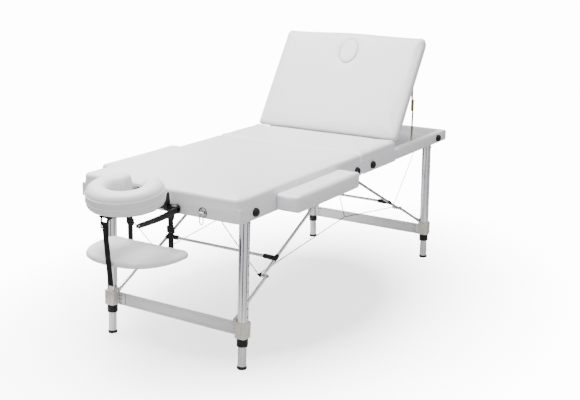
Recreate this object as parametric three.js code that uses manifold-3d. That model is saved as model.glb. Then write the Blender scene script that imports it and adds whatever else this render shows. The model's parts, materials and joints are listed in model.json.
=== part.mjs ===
// Portable three-section massage table: a folding bench on two braced leg sets, with a raising
// backrest, a face cradle, a hanging arm shelf and two plug-in side armrests.
// Millimetres, +Z up. +X runs from the face cradle to the backrest end. The origin is under the middle.

import * as THREE from 'three';
import { mergeVertices } from 'three/addons/utils/BufferGeometryUtils.js';
import Module from 'manifold-3d';

// ---------- driving dimensions ----------

const GAP = 0.3; // clearance between touching pieces

const HEAD_LENGTH = 935; // fold line to head end
const FOOT_LENGTH = 915; // fold line to backrest end
const WIDTH = 760;
const UNDERSIDE = 604; // height of the frames' lower face
const RAIL_HEIGHT = 52;
const RAIL_THICKNESS = 30;
const DECK_THICKNESS = 6;
const CUSHION_THICKNESS = 42;
const CUSHION_EDGE = 14; // rounding of the cushions' edges

const LEG_Y = 325; // legs' distance from the centre plane
const LEG_INSET = 110; // leg pivots' distance from the table's ends
const LEG_PIVOT_Z = 580;
const SPLAY = THREE.MathUtils.degToRad(1.8);
const LEG_TUBE_REACH = 21; // half of the fluted tube's width
const LEG_BORE_RADIUS = 18;
const INNER_LEG_RADIUS = 17;
const INNER_LEG_WALL = 2;
const HOLE_COUNT = 9;
const HOLE_PITCH = 34;
const HOLE_RADIUS = 3.6;
const BUTTON_DROP = 131; // spring button below the leg pivot, in the second hole
const BRACKET_TOP = 391; // drops are measured down the leg from its pivot
const BRACKET_HEIGHT = 64;
const COLLAR_HEIGHT = 33;
const COLLAR_RADIUS = 23.5;
const STRUT_DROP = 388; // lower strut's pivot on the bracket
const FOOT_HEIGHT = 20;
const FOOT_RADIUS = 20;
const LEG_AXLE_RADIUS = 5;
const LEG_AXLE_OVERHANG = 24; // axle's end beyond the leg's centre
const HANGER_INSET = 26; // hanger plates, inwards from the legs' centres

const STRUT_RADIUS = 6.5;
const STRUT_EYE_RADIUS = 9;
const UPPER_STRUT_Y = 274;
const LOWER_STRUT_Y = 290;
const STRUT_TOP_X = 60; // upper strut's pivot, measured from the fold line
const STRUT_TOP_Z = 580;

const BACKREST_HINGE_X = 350;
const BACKREST_HINGE_Z = 658;
const BACKREST_ANGLE = THREE.MathUtils.degToRad(57);
const BACKREST_LENGTH = 555;
const STAY_RAIL_X = 230; // stay pivots' distances from the backrest hinge
const STAY_BOARD_X = 415;
const STAY_BOARD_DROP = 11; // stay's backrest pivot below the hinge's plane

const CRADLE_HEIGHT = 628; // height of the cradle's posts and tilt axis
const CRADLE_TILT_X = -HEAD_LENGTH - 28;
const CRADLE_POST_Y = 98;
const CRADLE_REST_TILT = THREE.MathUtils.degToRad(8); // outer edge down
const CRADLE_REACH = 325; // cradle's outer edge beyond the head end

// ---------- worked-out sizes ----------

const RAIL_TOP = UNDERSIDE + RAIL_HEIGHT;
const TABLE_TOP = RAIL_TOP + CUSHION_THICKNESS;
const INSIDE_Y = WIDTH / 2 - RAIL_THICKNESS;
const ORIGIN_SHIFT = (HEAD_LENGTH + CRADLE_REACH - FOOT_LENGTH) / 2;

// ---------- materials ----------

function material(color, roughness, metalness = 0) {
  return new THREE.MeshStandardMaterial({ color, roughness, metalness });
}

const leatherette = material(0xf2f2f3, 0.45);
const wrappedWood = material(0xe9e9ec, 0.5);
const board = material(0xa9a9ac, 0.7);
const aluminium = material(0xc4c6ca, 0.3, 1);
const castAlloy = material(0xb9b3a3, 0.5, 0.6);
const steel = material(0x9a9da2, 0.35, 1);
const zincYellow = material(0xb49a55, 0.4, 0.9);
const blackPlastic = material(0x17171a, 0.5);
const webbing = material(0x121214, 0.85);

// ---------- shape helpers ----------

const wasm = await Module();
wasm.setup();

function solid(geometry) {
  const bare = geometry.clone();
  bare.deleteAttribute('normal');
  bare.deleteAttribute('uv');
  const merged = mergeVertices(bare);
  return new wasm.Manifold(new wasm.Mesh({
    numProp: 3,
    vertProperties: new Float32Array(merged.attributes.position.array),
    triVerts: new Uint32Array(merged.index.array),
  }));
}

function geometryOf(body) {
  const mesh = body.getMesh();
  const geometry = new THREE.BufferGeometry();
  geometry.setAttribute('position', new THREE.BufferAttribute(new Float32Array(mesh.vertProperties), 3));
  geometry.setIndex(Array.from(mesh.triVerts));
  geometry.computeVertexNormals();
  return geometry;
}

function union(...pieces) {
  return geometryOf(pieces.map(solid).reduce((whole, piece) => whole.add(piece)));
}

function cut(base, ...tools) {
  return geometryOf(tools.map(solid).reduce((whole, tool) => whole.subtract(tool), solid(base)));
}

function box(x0, x1, y0, y1, z0, z1) {
  const geometry = new THREE.BoxGeometry(x1 - x0, y1 - y0, z1 - z0);
  return geometry.translate((x0 + x1) / 2, (y0 + y1) / 2, (z0 + z1) / 2);
}

// A round bar between two points.
function bar(from, to, radius, sides = 12) {
  const start = new THREE.Vector3(...from);
  const along = new THREE.Vector3(...to).sub(start);
  const geometry = new THREE.CylinderGeometry(radius, radius, along.length(), sides);
  const up = new THREE.Vector3(0, 1, 0);
  const turn = new THREE.Quaternion().setFromUnitVectors(up, along.clone().normalize());
  return geometry.applyQuaternion(turn).translate(...start.addScaledVector(along, 0.5).toArray());
}

function roundedRectangle(width, height, radius) {
  const x = width / 2;
  const y = height / 2;
  const shape = new THREE.Shape();
  shape.absarc(x - radius, y - radius, radius, 0, Math.PI / 2);
  shape.absarc(radius - x, y - radius, radius, Math.PI / 2, Math.PI);
  shape.absarc(radius - x, radius - y, radius, Math.PI, 1.5 * Math.PI);
  shape.absarc(x - radius, radius - y, radius, 1.5 * Math.PI, 2 * Math.PI);
  return shape;
}

function circle(radius, x = 0) {
  const path = new THREE.Path();
  path.absarc(x, 0, radius, 0, 2 * Math.PI);
  return path;
}

function circleShape(radius) {
  return new THREE.Shape(circle(radius).getPoints(6));
}

// A prism that stands on z = bottom.
function prism(shape, bottom, height, curveSegments = 4) {
  const settings = { depth: height, bevelEnabled: false, curveSegments };
  return new THREE.ExtrudeGeometry(shape, settings).translate(0, 0, bottom);
}

// A pad with all its edges rounded. The shape given is the pad's outline.
function pad(shape, bottom, height, edge = CUSHION_EDGE, curveSegments = 4) {
  const settings = {
    depth: height - 2 * edge,
    bevelThickness: edge,
    bevelSize: edge,
    bevelOffset: -edge,
    bevelSegments: 2,
    curveSegments,
  };
  return new THREE.ExtrudeGeometry(shape, settings).translate(0, 0, bottom + edge);
}

function flatPad(x0, x1, y0, y1, bottom, height, corner, edge = CUSHION_EDGE) {
  const shape = roundedRectangle(x1 - x0, y1 - y0, corner);
  return pad(shape, bottom, height, edge).translate((x0 + x1) / 2, (y0 + y1) / 2, 0);
}

// ---------- scene graph ----------

const table = new THREE.Group();
table.position.x = ORIGIN_SHIFT;

function piece(name, geometry, look, parent = table) {
  const mesh = new THREE.Mesh(geometry, look);
  mesh.name = name;
  parent.add(mesh);
  return mesh;
}

// A group that turns about a line along Y.
function pivot(x, z, angle) {
  const group = new THREE.Group();
  group.position.set(x, 0, z);
  group.rotation.y = angle;
  table.add(group);
  return group;
}

const SIDES = [['right', -1], ['left', 1]];
const ENDS = [['head', -1, HEAD_LENGTH], ['foot', 1, FOOT_LENGTH]];

// ---------- frames, decks and fixed cushions ----------

const ARMREST_X = [-705, -212];
const ARMREST_WIDTH = 106;
const ARMREST_BOTTOM = 606;
const ARMREST_HEIGHT = 68;
const ARMREST_CORNER = 15;
const ARMREST_PIN_X = [-575, -295];
const ARMREST_PIN_Z = 634;
const ARMREST_PIN_RADIUS = 6;
const POST_RADIUS = 6;

// Four rails joined into a ring, open in the middle.
function rails(x0, x1) {
  const outside = box(x0, x1, -WIDTH / 2, WIDTH / 2, UNDERSIDE, RAIL_TOP);
  const inside = box(
    x0 + RAIL_THICKNESS, x1 - RAIL_THICKNESS, -INSIDE_Y, INSIDE_Y, UNDERSIDE - 1, RAIL_TOP + 1);
  return cut(outside, inside);
}

function buildHeadHalf() {
  const end = -HEAD_LENGTH;
  const inner = end + RAIL_THICKNESS;
  const sockets = [];
  for (const x of ARMREST_PIN_X) {
    const reach = WIDTH / 2 + 1;
    sockets.push(bar([x, -reach, ARMREST_PIN_Z], [x, reach, ARMREST_PIN_Z], ARMREST_PIN_RADIUS + GAP));
  }
  for (const [, side] of SIDES) {
    const y = side * CRADLE_POST_Y;
    sockets.push(bar([end - 1, y, CRADLE_HEIGHT], [inner + 1, y, CRADLE_HEIGHT], POST_RADIUS + GAP));
  }
  piece('head_frame', cut(rails(end, -GAP), ...sockets), wrappedWood);
  const deckEnd = -GAP - RAIL_THICKNESS - GAP;
  piece('head_deck', box(
    inner + GAP, deckEnd, -INSIDE_Y + GAP, INSIDE_Y - GAP, RAIL_TOP - DECK_THICKNESS, RAIL_TOP), board);
  piece('head_cushion', flatPad(
    end, -GAP, -WIDTH / 2, WIDTH / 2, RAIL_TOP + GAP, CUSHION_THICKNESS - GAP, 24), leatherette);
}

const FOOT_DECK_TOP = 632;
const MID_END = BACKREST_HINGE_X - 10;

function buildFootHalf() {
  piece('foot_frame', rails(GAP, FOOT_LENGTH), wrappedWood);
  const inner = GAP + RAIL_THICKNESS + GAP;
  piece('foot_deck', box(
    inner, FOOT_LENGTH - RAIL_THICKNESS - GAP, -INSIDE_Y + GAP, INSIDE_Y - GAP,
    FOOT_DECK_TOP - DECK_THICKNESS, FOOT_DECK_TOP), board);
  piece('mid_board', box(
    inner, MID_END, -INSIDE_Y + GAP, INSIDE_Y - GAP, RAIL_TOP - DECK_THICKNESS, RAIL_TOP), board);
  piece('mid_cushion', flatPad(
    GAP, MID_END, -WIDTH / 2, WIDTH / 2, RAIL_TOP + GAP, CUSHION_THICKNESS - GAP, 24), leatherette);
}

// ---------- fold hinge ----------

const FOLD_AXIS_Z = 601;
const HINGE_HALF_LENGTH = 344;
const KNUCKLES = 8;
const KNUCKLE_RADIUS = 2.5;
const LEAF_THICKNESS = 1.6;
const LEAF_WIDTH = 72;
const LUG_THICKNESS = 4;

// A leaf under the fold rail, with its share of the knuckles and the lugs of the upper struts.
function hingeLeaf(direction, firstKnuckle) {
  const top = UNDERSIDE - GAP;
  const near = direction * (KNUCKLE_RADIUS + GAP);
  const far = direction * LEAF_WIDTH;
  const [x0, x1] = [Math.min(near, far), Math.max(near, far)];
  const pieces = [box(x0, x1, -HINGE_HALF_LENGTH, HINGE_HALF_LENGTH, top - LEAF_THICKNESS, top)];
  const pitch = (2 * HINGE_HALF_LENGTH) / KNUCKLES;
  for (let i = firstKnuckle; i < KNUCKLES; i += 2) {
    const start = -HINGE_HALF_LENGTH + i * pitch + GAP;
    const end = start + pitch - 2 * GAP;
    pieces.push(bar([0, start, FOLD_AXIS_Z], [0, end, FOLD_AXIS_Z], KNUCKLE_RADIUS, 8));
    const web = [0, near + direction];
    pieces.push(box(Math.min(...web), Math.max(...web), start, end, top - LEAF_THICKNESS, top));
  }
  const lugX = direction * STRUT_TOP_X;
  for (const [, side] of SIDES) {
    const y = side * (UPPER_STRUT_Y - STRUT_RADIUS - LUG_THICKNESS / 2 - 1);
    pieces.push(box(
      lugX - STRUT_EYE_RADIUS, lugX + STRUT_EYE_RADIUS, y - LUG_THICKNESS / 2, y + LUG_THICKNESS / 2,
      STRUT_TOP_Z - STRUT_EYE_RADIUS, top - LEAF_THICKNESS / 2));
  }
  return union(...pieces);
}

// ---------- backrest ----------

const BACKREST_START = 25; // cushion's lower edge, measured from the hinge
const BACKREST_BOARD_Y = 325;
const BACKREST_BOARD_THICKNESS = 8;
const BREATH_X = 455; // middle of the breath hole, measured from the hinge
const BREATH_LENGTH = 128;
const BREATH_WIDTH = 92;
const PLUG_CLEARANCE = 1;

function ellipse(length, width) {
  const path = new THREE.Path();
  path.absellipse(0, 0, length / 2, width / 2, 0, 2 * Math.PI);
  return path;
}

function buildBackrest() {
  const backrest = pivot(BACKREST_HINGE_X, BACKREST_HINGE_Z, -BACKREST_ANGLE);
  const cushionBottom = RAIL_TOP + GAP - BACKREST_HINGE_Z;
  const boardBottom = cushionBottom - GAP - BACKREST_BOARD_THICKNESS;
  const hole = ellipse(BREATH_LENGTH, BREATH_WIDTH);
  const throughHole = prism(new THREE.Shape(hole.getPoints(8)), boardBottom - 1, 80)
    .translate(BREATH_X, 0, 0);
  const cushion = flatPad(
    BACKREST_START, BACKREST_LENGTH, -WIDTH / 2, WIDTH / 2, cushionBottom, CUSHION_THICKNESS - GAP, 24);
  piece('backrest_cushion', cut(cushion, throughHole), leatherette, backrest);
  const boardEnd = BACKREST_LENGTH - RAIL_THICKNESS - 8;
  const slab = box(2, boardEnd, -BACKREST_BOARD_Y, BACKREST_BOARD_Y, boardBottom, cushionBottom - GAP);
  piece('backrest_board', cut(slab, throughHole), board, backrest);
  const plugShape = new THREE.Shape(
    ellipse(BREATH_LENGTH - 2 * PLUG_CLEARANCE, BREATH_WIDTH - 2 * PLUG_CLEARANCE).getPoints(8));
  const plug = pad(plugShape, boardBottom, CUSHION_THICKNESS + 6, 6).translate(BREATH_X, 0, 0);
  piece('breath_plug', plug, leatherette, backrest);
}

const STAY_LENGTH = 205;
const STAY_WIDTH = 16;
const STAY_THICKNESS = 2.5;
const STAY_LOWER_Y = 342;
const STAY_UPPER_Y = 336;
const STAY_RAIL_DROP = 12; // stay's rail pivot below the rail's top
const NOTCH_COUNT = 8;
const NOTCH_PITCH = 16;

// A flat bar from its pivot along +X, with ratchet notches along one edge.
function notchedBar(notched) {
  const shape = new THREE.Shape();
  const half = STAY_WIDTH / 2;
  shape.absarc(0, 0, half, Math.PI / 2, 1.5 * Math.PI);
  shape.lineTo(STAY_LENGTH, -half);
  shape.lineTo(STAY_LENGTH, half);
  if (notched) {
    for (let i = NOTCH_COUNT; i > 0; i -= 1) {
      const x = STAY_LENGTH - 8 - (NOTCH_COUNT - i) * NOTCH_PITCH;
      shape.lineTo(x, half);
      shape.lineTo(x, half - 5);
      shape.lineTo(x - 6, half);
    }
  }
  return prism(shape, -STAY_THICKNESS / 2, STAY_THICKNESS).rotateX(Math.PI / 2);
}

function buildStays() {
  const railPivot = [BACKREST_HINGE_X + STAY_RAIL_X, RAIL_TOP - STAY_RAIL_DROP];
  const cosine = Math.cos(BACKREST_ANGLE);
  const sine = Math.sin(BACKREST_ANGLE);
  const boardPivot = [
    BACKREST_HINGE_X + STAY_BOARD_X * cosine + STAY_BOARD_DROP * sine,
    BACKREST_HINGE_Z + STAY_BOARD_X * sine - STAY_BOARD_DROP * cosine];
  const dx = boardPivot[0] - railPivot[0];
  const dz = boardPivot[1] - railPivot[1];
  const lean = Math.atan2(dz, dx);
  for (const [sideName, side] of SIDES) {
    const lower = pivot(railPivot[0], railPivot[1], -lean);
    piece(`stay_lower_${sideName}`, notchedBar(true).translate(0, side * STAY_LOWER_Y, 0),
      zincYellow, lower);
    const upper = pivot(boardPivot[0], boardPivot[1], Math.PI - lean);
    piece(`stay_upper_${sideName}`, notchedBar(false).translate(0, side * STAY_UPPER_Y, 0),
      zincYellow, upper);
  }
}

// ---------- legs ----------

// The outer tube's section has a rounded lobe on each face and a groove at each corner.
function flutedOutline() {
  const shape = new THREE.Shape();
  const points = [];
  const steps = 24;
  for (let i = 0; i < steps; i += 1) {
    const angle = (i * 2 * Math.PI) / steps;
    const groove = Math.pow(Math.abs(Math.sin(2 * angle)), 6);
    const radius = LEG_TUBE_REACH - 1.6 * groove;
    points.push(new THREE.Vector2(radius * Math.cos(angle), radius * Math.sin(angle)));
  }
  shape.setFromPoints(points);
  return shape;
}

function outerLeg(side) {
  const shape = flutedOutline();
  shape.holes.push(circle(LEG_BORE_RADIUS));
  const bottom = -BRACKET_TOP - BRACKET_HEIGHT + 6;
  const tube = prism(shape, bottom, 8 - bottom, 6);
  const holes = [];
  for (let i = 0; i < HOLE_COUNT; i += 1) {
    const z = -BUTTON_DROP + HOLE_PITCH - i * HOLE_PITCH;
    const start = side * (LEG_BORE_RADIUS - 4);
    holes.push(bar([0, start, z], [0, side * (LEG_TUBE_REACH + 2), z], HOLE_RADIUS, 8));
  }
  const axle = bar([0, -30, 0], [0, 30, 0], LEG_AXLE_RADIUS + GAP, 12);
  return cut(tube, ...holes, axle).translate(0, side * LEG_Y, 0);
}

const BRACKET_X = 26;
const BRACKET_Y = 25;
const FLANGE_LENGTH = 34;
const PLATE_THICKNESS = 4;
const PLATE_OFFSET = 12; // crossbar's near face, towards the table's middle

function bracket(side, end) {
  const bottom = -BRACKET_TOP - BRACKET_HEIGHT;
  const body = prism(roundedRectangle(2 * BRACKET_X, 2 * BRACKET_Y, 9), bottom, BRACKET_HEIGHT, 3);
  const inward = -side;
  const boss = bar(
    [0, inward * (LEG_TUBE_REACH + 1), -STRUT_DROP],
    [0, inward * (LEG_Y - LOWER_STRUT_Y - STRUT_RADIUS - GAP), -STRUT_DROP], STRUT_EYE_RADIUS);
  const flangeX = -end * (PLATE_OFFSET - GAP - 2);
  const flange = box(
    flangeX - 2, flangeX + 2,
    Math.min(inward * 20, inward * (BRACKET_Y + FLANGE_LENGTH)),
    Math.max(inward * 20, inward * (BRACKET_Y + FLANGE_LENGTH)),
    bottom + 2, bottom + 50);
  const collar = prism(circleShape(COLLAR_RADIUS), bottom - COLLAR_HEIGHT, COLLAR_HEIGHT + 2, 6);
  const tubeSeat = bar([0, 0, bottom + 5], [0, 0, 1 - BRACKET_TOP], LEG_TUBE_REACH + GAP, 24);
  const innerBore = bar(
    [0, 0, bottom - COLLAR_HEIGHT - 1], [0, 0, bottom + 6], INNER_LEG_RADIUS + GAP + 0.2, 20);
  const whole = union(body, boss, flange, collar);
  return cut(whole, tubeSeat, innerBore).translate(0, side * LEG_Y, 0);
}

const LEG_END = LEG_PIVOT_Z / Math.cos(SPLAY); // pivot to floor, down the leg
const INNER_LEG_TOP = 50; // top of the inner tube below the pivot

function innerLeg(side, end) {
  const shape = circleShape(INNER_LEG_RADIUS);
  shape.holes.push(circle(INNER_LEG_RADIUS - INNER_LEG_WALL));
  const footTop = -LEG_END + FOOT_HEIGHT;
  const tube = prism(shape, footTop - 4, -INNER_LEG_TOP - footTop + 4, 6);
  const foot = bar([0, 0, -LEG_END - 5], [0, 0, footTop], FOOT_RADIUS, 20);
  const spare = 90;
  const floor = box(-spare, spare, -spare, spare, -LEG_PIVOT_Z - spare, -LEG_PIVOT_Z)
    .rotateY(end * SPLAY);
  const start = side * (INNER_LEG_RADIUS - 5);
  const hole = bar([0, start, -BUTTON_DROP], [0, side * 20, -BUTTON_DROP], HOLE_RADIUS, 8);
  return cut(union(tube, foot), hole, floor).translate(0, side * LEG_Y, 0);
}

// A rod through the tops of both legs, held by hanger plates under the frame.
function legAxle() {
  const reach = LEG_Y + LEG_AXLE_OVERHANG;
  const pieces = [bar([0, -reach, 0], [0, reach, 0], LEG_AXLE_RADIUS)];
  const top = UNDERSIDE - GAP - LEG_PIVOT_Z;
  for (const [, side] of SIDES) {
    const y = side * (LEG_Y - HANGER_INSET);
    pieces.push(box(-14, 14, y - 2, y + 2, -9, top));
    pieces.push(box(-14, 14, Math.min(y, y - side * 20), Math.max(y, y - side * 20), top - 3, top));
  }
  return union(...pieces);
}

// ---------- folding struts ----------

// Strut lengths that lie in one line with the leg down and double back flat with the leg folded.
function strutPlan(length) {
  const pivotX = length - LEG_INSET;
  const down = [
    pivotX + STRUT_DROP * Math.sin(SPLAY) - STRUT_TOP_X,
    LEG_PIVOT_Z - STRUT_DROP * Math.cos(SPLAY) - STRUT_TOP_Z];
  const open = Math.hypot(...down);
  const closed = Math.hypot(pivotX - STRUT_DROP - STRUT_TOP_X, LEG_PIVOT_Z - STRUT_TOP_Z);
  const upper = (open + closed) / 2;
  return { upper, lower: open - upper, angle: Math.atan2(down[1], down[0]) };
}

const CLAMP_LENGTH = 52;
const CLAMP_RADIUS = 10;
const CLAMP_FROM_KNEE = 104; // T-bar clamp above the knee, along the upper strut

function strut(length, y, from = 0) {
  const rod = bar([from, y, 0], [from + length, y, 0], STRUT_RADIUS, 12);
  const eyes = [from, from + length].map((x) => bar(
    [x, y - STRUT_RADIUS, 0], [x, y + STRUT_RADIUS, 0], STRUT_EYE_RADIUS, 12));
  return union(rod, ...eyes);
}

function buildStruts(endName, end, length) {
  const plan = strutPlan(length);
  const frame = new THREE.Group();
  frame.position.set(end * STRUT_TOP_X, 0, STRUT_TOP_Z);
  frame.rotation.y = end > 0 ? -plan.angle : plan.angle + Math.PI;
  table.add(frame);
  for (const [sideName, side] of SIDES) {
    piece(`${endName}_upper_strut_${sideName}`, strut(plan.upper, side * UPPER_STRUT_Y), aluminium, frame);
    piece(`${endName}_lower_strut_${sideName}`,
      strut(plan.lower, side * LOWER_STRUT_Y, plan.upper), aluminium, frame);
  }
  const x = plan.upper - CLAMP_FROM_KNEE;
  const reach = UPPER_STRUT_Y - STRUT_RADIUS - GAP;
  const parts = [bar([x, -reach + 2, 0], [x, reach - 2, 0], STRUT_RADIUS, 12)];
  for (const [, side] of SIDES) {
    parts.push(bar([x, side * (reach - CLAMP_LENGTH), 0], [x, side * reach, 0], CLAMP_RADIUS, 12));
  }
  piece(`${endName}_strut_crossbar`, union(...parts), aluminium, frame);
}

function buildLegs(endName, end, length) {
  const leg = pivot(end * (length - LEG_INSET), LEG_PIVOT_Z, -end * SPLAY);
  for (const [sideName, side] of SIDES) {
    piece(`${endName}_outer_leg_${sideName}`, outerLeg(side), aluminium, leg);
    piece(`${endName}_leg_bracket_${sideName}`, bracket(side, end), castAlloy, leg);
    piece(`${endName}_inner_leg_${sideName}`, innerLeg(side, end), aluminium, leg);
    const button = bar(
      [0, side * (LEG_Y + LEG_BORE_RADIUS + GAP), -BUTTON_DROP],
      [0, side * (LEG_Y + LEG_TUBE_REACH + 3), -BUTTON_DROP], HOLE_RADIUS - GAP, 8);
    piece(`${endName}_button_${sideName}`, button, steel, leg);
  }
  const plateReach = LEG_Y - BRACKET_Y - GAP;
  const bottom = -BRACKET_TOP - BRACKET_HEIGHT;
  const plateX = [-end * PLATE_OFFSET, -end * (PLATE_OFFSET + PLATE_THICKNESS)];
  piece(`${endName}_leg_crossbar`, box(
    Math.min(...plateX), Math.max(...plateX), -plateReach, plateReach, bottom - 1, bottom + 53),
  aluminium, leg);
  const axle = pivot(end * (length - LEG_INSET), LEG_PIVOT_Z, 0);
  piece(`${endName}_leg_axle`, legAxle(), steel, axle);
}

// ---------- brace cables ----------

const CABLE_RADIUS = 1.6;
const CABLE_Y = 252;
const CABLE_DIP = [95, 372]; // where the drop cable holds the long cable up
const DROP_TOP_X = 8;
const CABLE_CORNER_INSET = 44; // cable's corner anchors, from the table's ends

// A tube along straight runs, with the drop cable joined on at the dip.
function braceCable(side) {
  const y = side * CABLE_Y;
  const point = (x, z) => new THREE.Vector3(x, y, z);
  const corners = [];
  const route = [];
  for (const [, end, length] of ENDS) {
    const plan = strutPlan(length);
    const knee = point(
      end * (STRUT_TOP_X + plan.upper * Math.cos(plan.angle)),
      STRUT_TOP_Z + plan.upper * Math.sin(plan.angle));
    const corner = point(end * (length - CABLE_CORNER_INSET), UNDERSIDE - GAP);
    corners.push(corner);
    route.push(...(end < 0 ? [corner, knee] : [knee, corner]));
  }
  route.splice(2, 0, point(...CABLE_DIP));
  const runs = [];
  for (let i = 0; i + 1 < route.length; i += 1) {
    runs.push(bar(route[i].toArray(), route[i + 1].toArray(), CABLE_RADIUS, 8));
    runs.push(new THREE.SphereGeometry(CABLE_RADIUS, 8, 6).translate(...route[i].toArray()));
  }
  const dropTop = UNDERSIDE - GAP - LEAF_THICKNESS - GAP;
  runs.push(bar([CABLE_DIP[0], y, CABLE_DIP[1]], [DROP_TOP_X, y, dropTop - CABLE_RADIUS], CABLE_RADIUS, 8));
  const trimTop = box(-2000, 2000, y - 9, y + 9, UNDERSIDE - GAP, UNDERSIDE + 9);
  return cut(union(...runs), trimTop);
}

// ---------- latch ----------

const LATCH_Y = -214;
const LATCH_Z = 626;
const HOOK_OFFSET = 11; // hook's pivot in front of the plate
const HOOK_LENGTH = 42;
const HOOK_HALF_WIDTH = 8;

function buildLatch() {
  const face = -HEAD_LENGTH - GAP;
  const plate = box(face - 2, face, LATCH_Y - 17, LATCH_Y + 17, LATCH_Z - 19, LATCH_Z + 22);
  const dish = bar([face - 1, LATCH_Y, LATCH_Z], [face - 7, LATCH_Y, LATCH_Z], 14, 20);
  piece('latch_base', union(plate, dish), steel);
  const hook = new THREE.Group();
  hook.position.set(face - HOOK_OFFSET, LATCH_Y, LATCH_Z);
  table.add(hook);
  const rungs = [
    bar([0, -HOOK_HALF_WIDTH - 1, 0], [0, HOOK_HALF_WIDTH + 1, 0], 2.4, 8),
    bar([0, -HOOK_HALF_WIDTH, 0], [0, -HOOK_HALF_WIDTH, -HOOK_LENGTH], 2, 8),
    bar([0, HOOK_HALF_WIDTH, 0], [0, HOOK_HALF_WIDTH, -HOOK_LENGTH], 2, 8),
    bar([0, -HOOK_HALF_WIDTH - 1.5, -HOOK_LENGTH], [0, HOOK_HALF_WIDTH + 1.5, -HOOK_LENGTH], 2.4, 8),
  ];
  piece('latch_hook', union(...rungs), steel, hook);
}

// ---------- face cradle ----------

const CRADLE_CUSHION_BOTTOM = 62; // above the tilt axis
const CRADLE_REAR = 3; // cushion's table side, from the tilt axis
const CRADLE_CUSHION_HEIGHT = 80;
const CRADLE_LENGTH = 288;
const CRADLE_WIDTH = 312;
const FACE_HOLE_RADIUS = 60;
const FACE_SLOT = 30; // half width of the opening towards the table
const PLATFORM_THICKNESS = 5;
const PLATFORM_MARGIN = 14; // cushion's overhang past the platform
const PLATFORM_ARM_Y = [64, 80];
const PLATFORM_ARM_HEIGHT = 21;
const PLATFORM_ARM_LENGTH = 150;
const POST_REACH = 140; // posts' length inside the frame
const TILT_AXLE_RADIUS = 8;
const TILT_AXLE_REACH = 121; // half length of the tilt axle
const TILT_KNUCKLE_RADIUS = 14;
const TILT_KNUCKLE_Y = [84, 106];
const LEVER_Y = -115;
const LEVER_LENGTH = 225;
const LEVER_THICKNESS = 6;
const LEVER_HUB_RADIUS = 13;
const LEVER_TIP_RADIUS = 9;
const LEVER_ANGLE = THREE.MathUtils.degToRad(2);

// A round pad with a face hole and a slot from the hole to the table's side, cut down to the given margin.
function horseshoe(body, margin, bottom, height, flare) {
  const shape = new THREE.Shape();
  shape.absellipse(0, 0, CRADLE_LENGTH / 2 - margin, CRADLE_WIDTH / 2 - margin, 0, 2 * Math.PI);
  const hole = FACE_HOLE_RADIUS + margin;
  const slot = FACE_SLOT + margin;
  const profile = [
    [0, -1], [hole + flare, -1], [hole + flare, 0], [hole + flare / 4, flare / 3], [hole, flare],
    [hole, height - flare], [hole + flare / 4, height - flare / 3], [hole + flare, height],
    [hole + flare, height + 1], [0, height + 1],
  ].map(([x, z]) => new THREE.Vector2(x, z));
  const throat = new THREE.LatheGeometry(profile, 28).rotateX(Math.PI / 2).translate(-6, 0, bottom);
  const mouth = box(0, CRADLE_LENGTH, -slot, slot, bottom - 1, bottom + height + 1);
  return cut(body(shape), throat, mouth);
}

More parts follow.
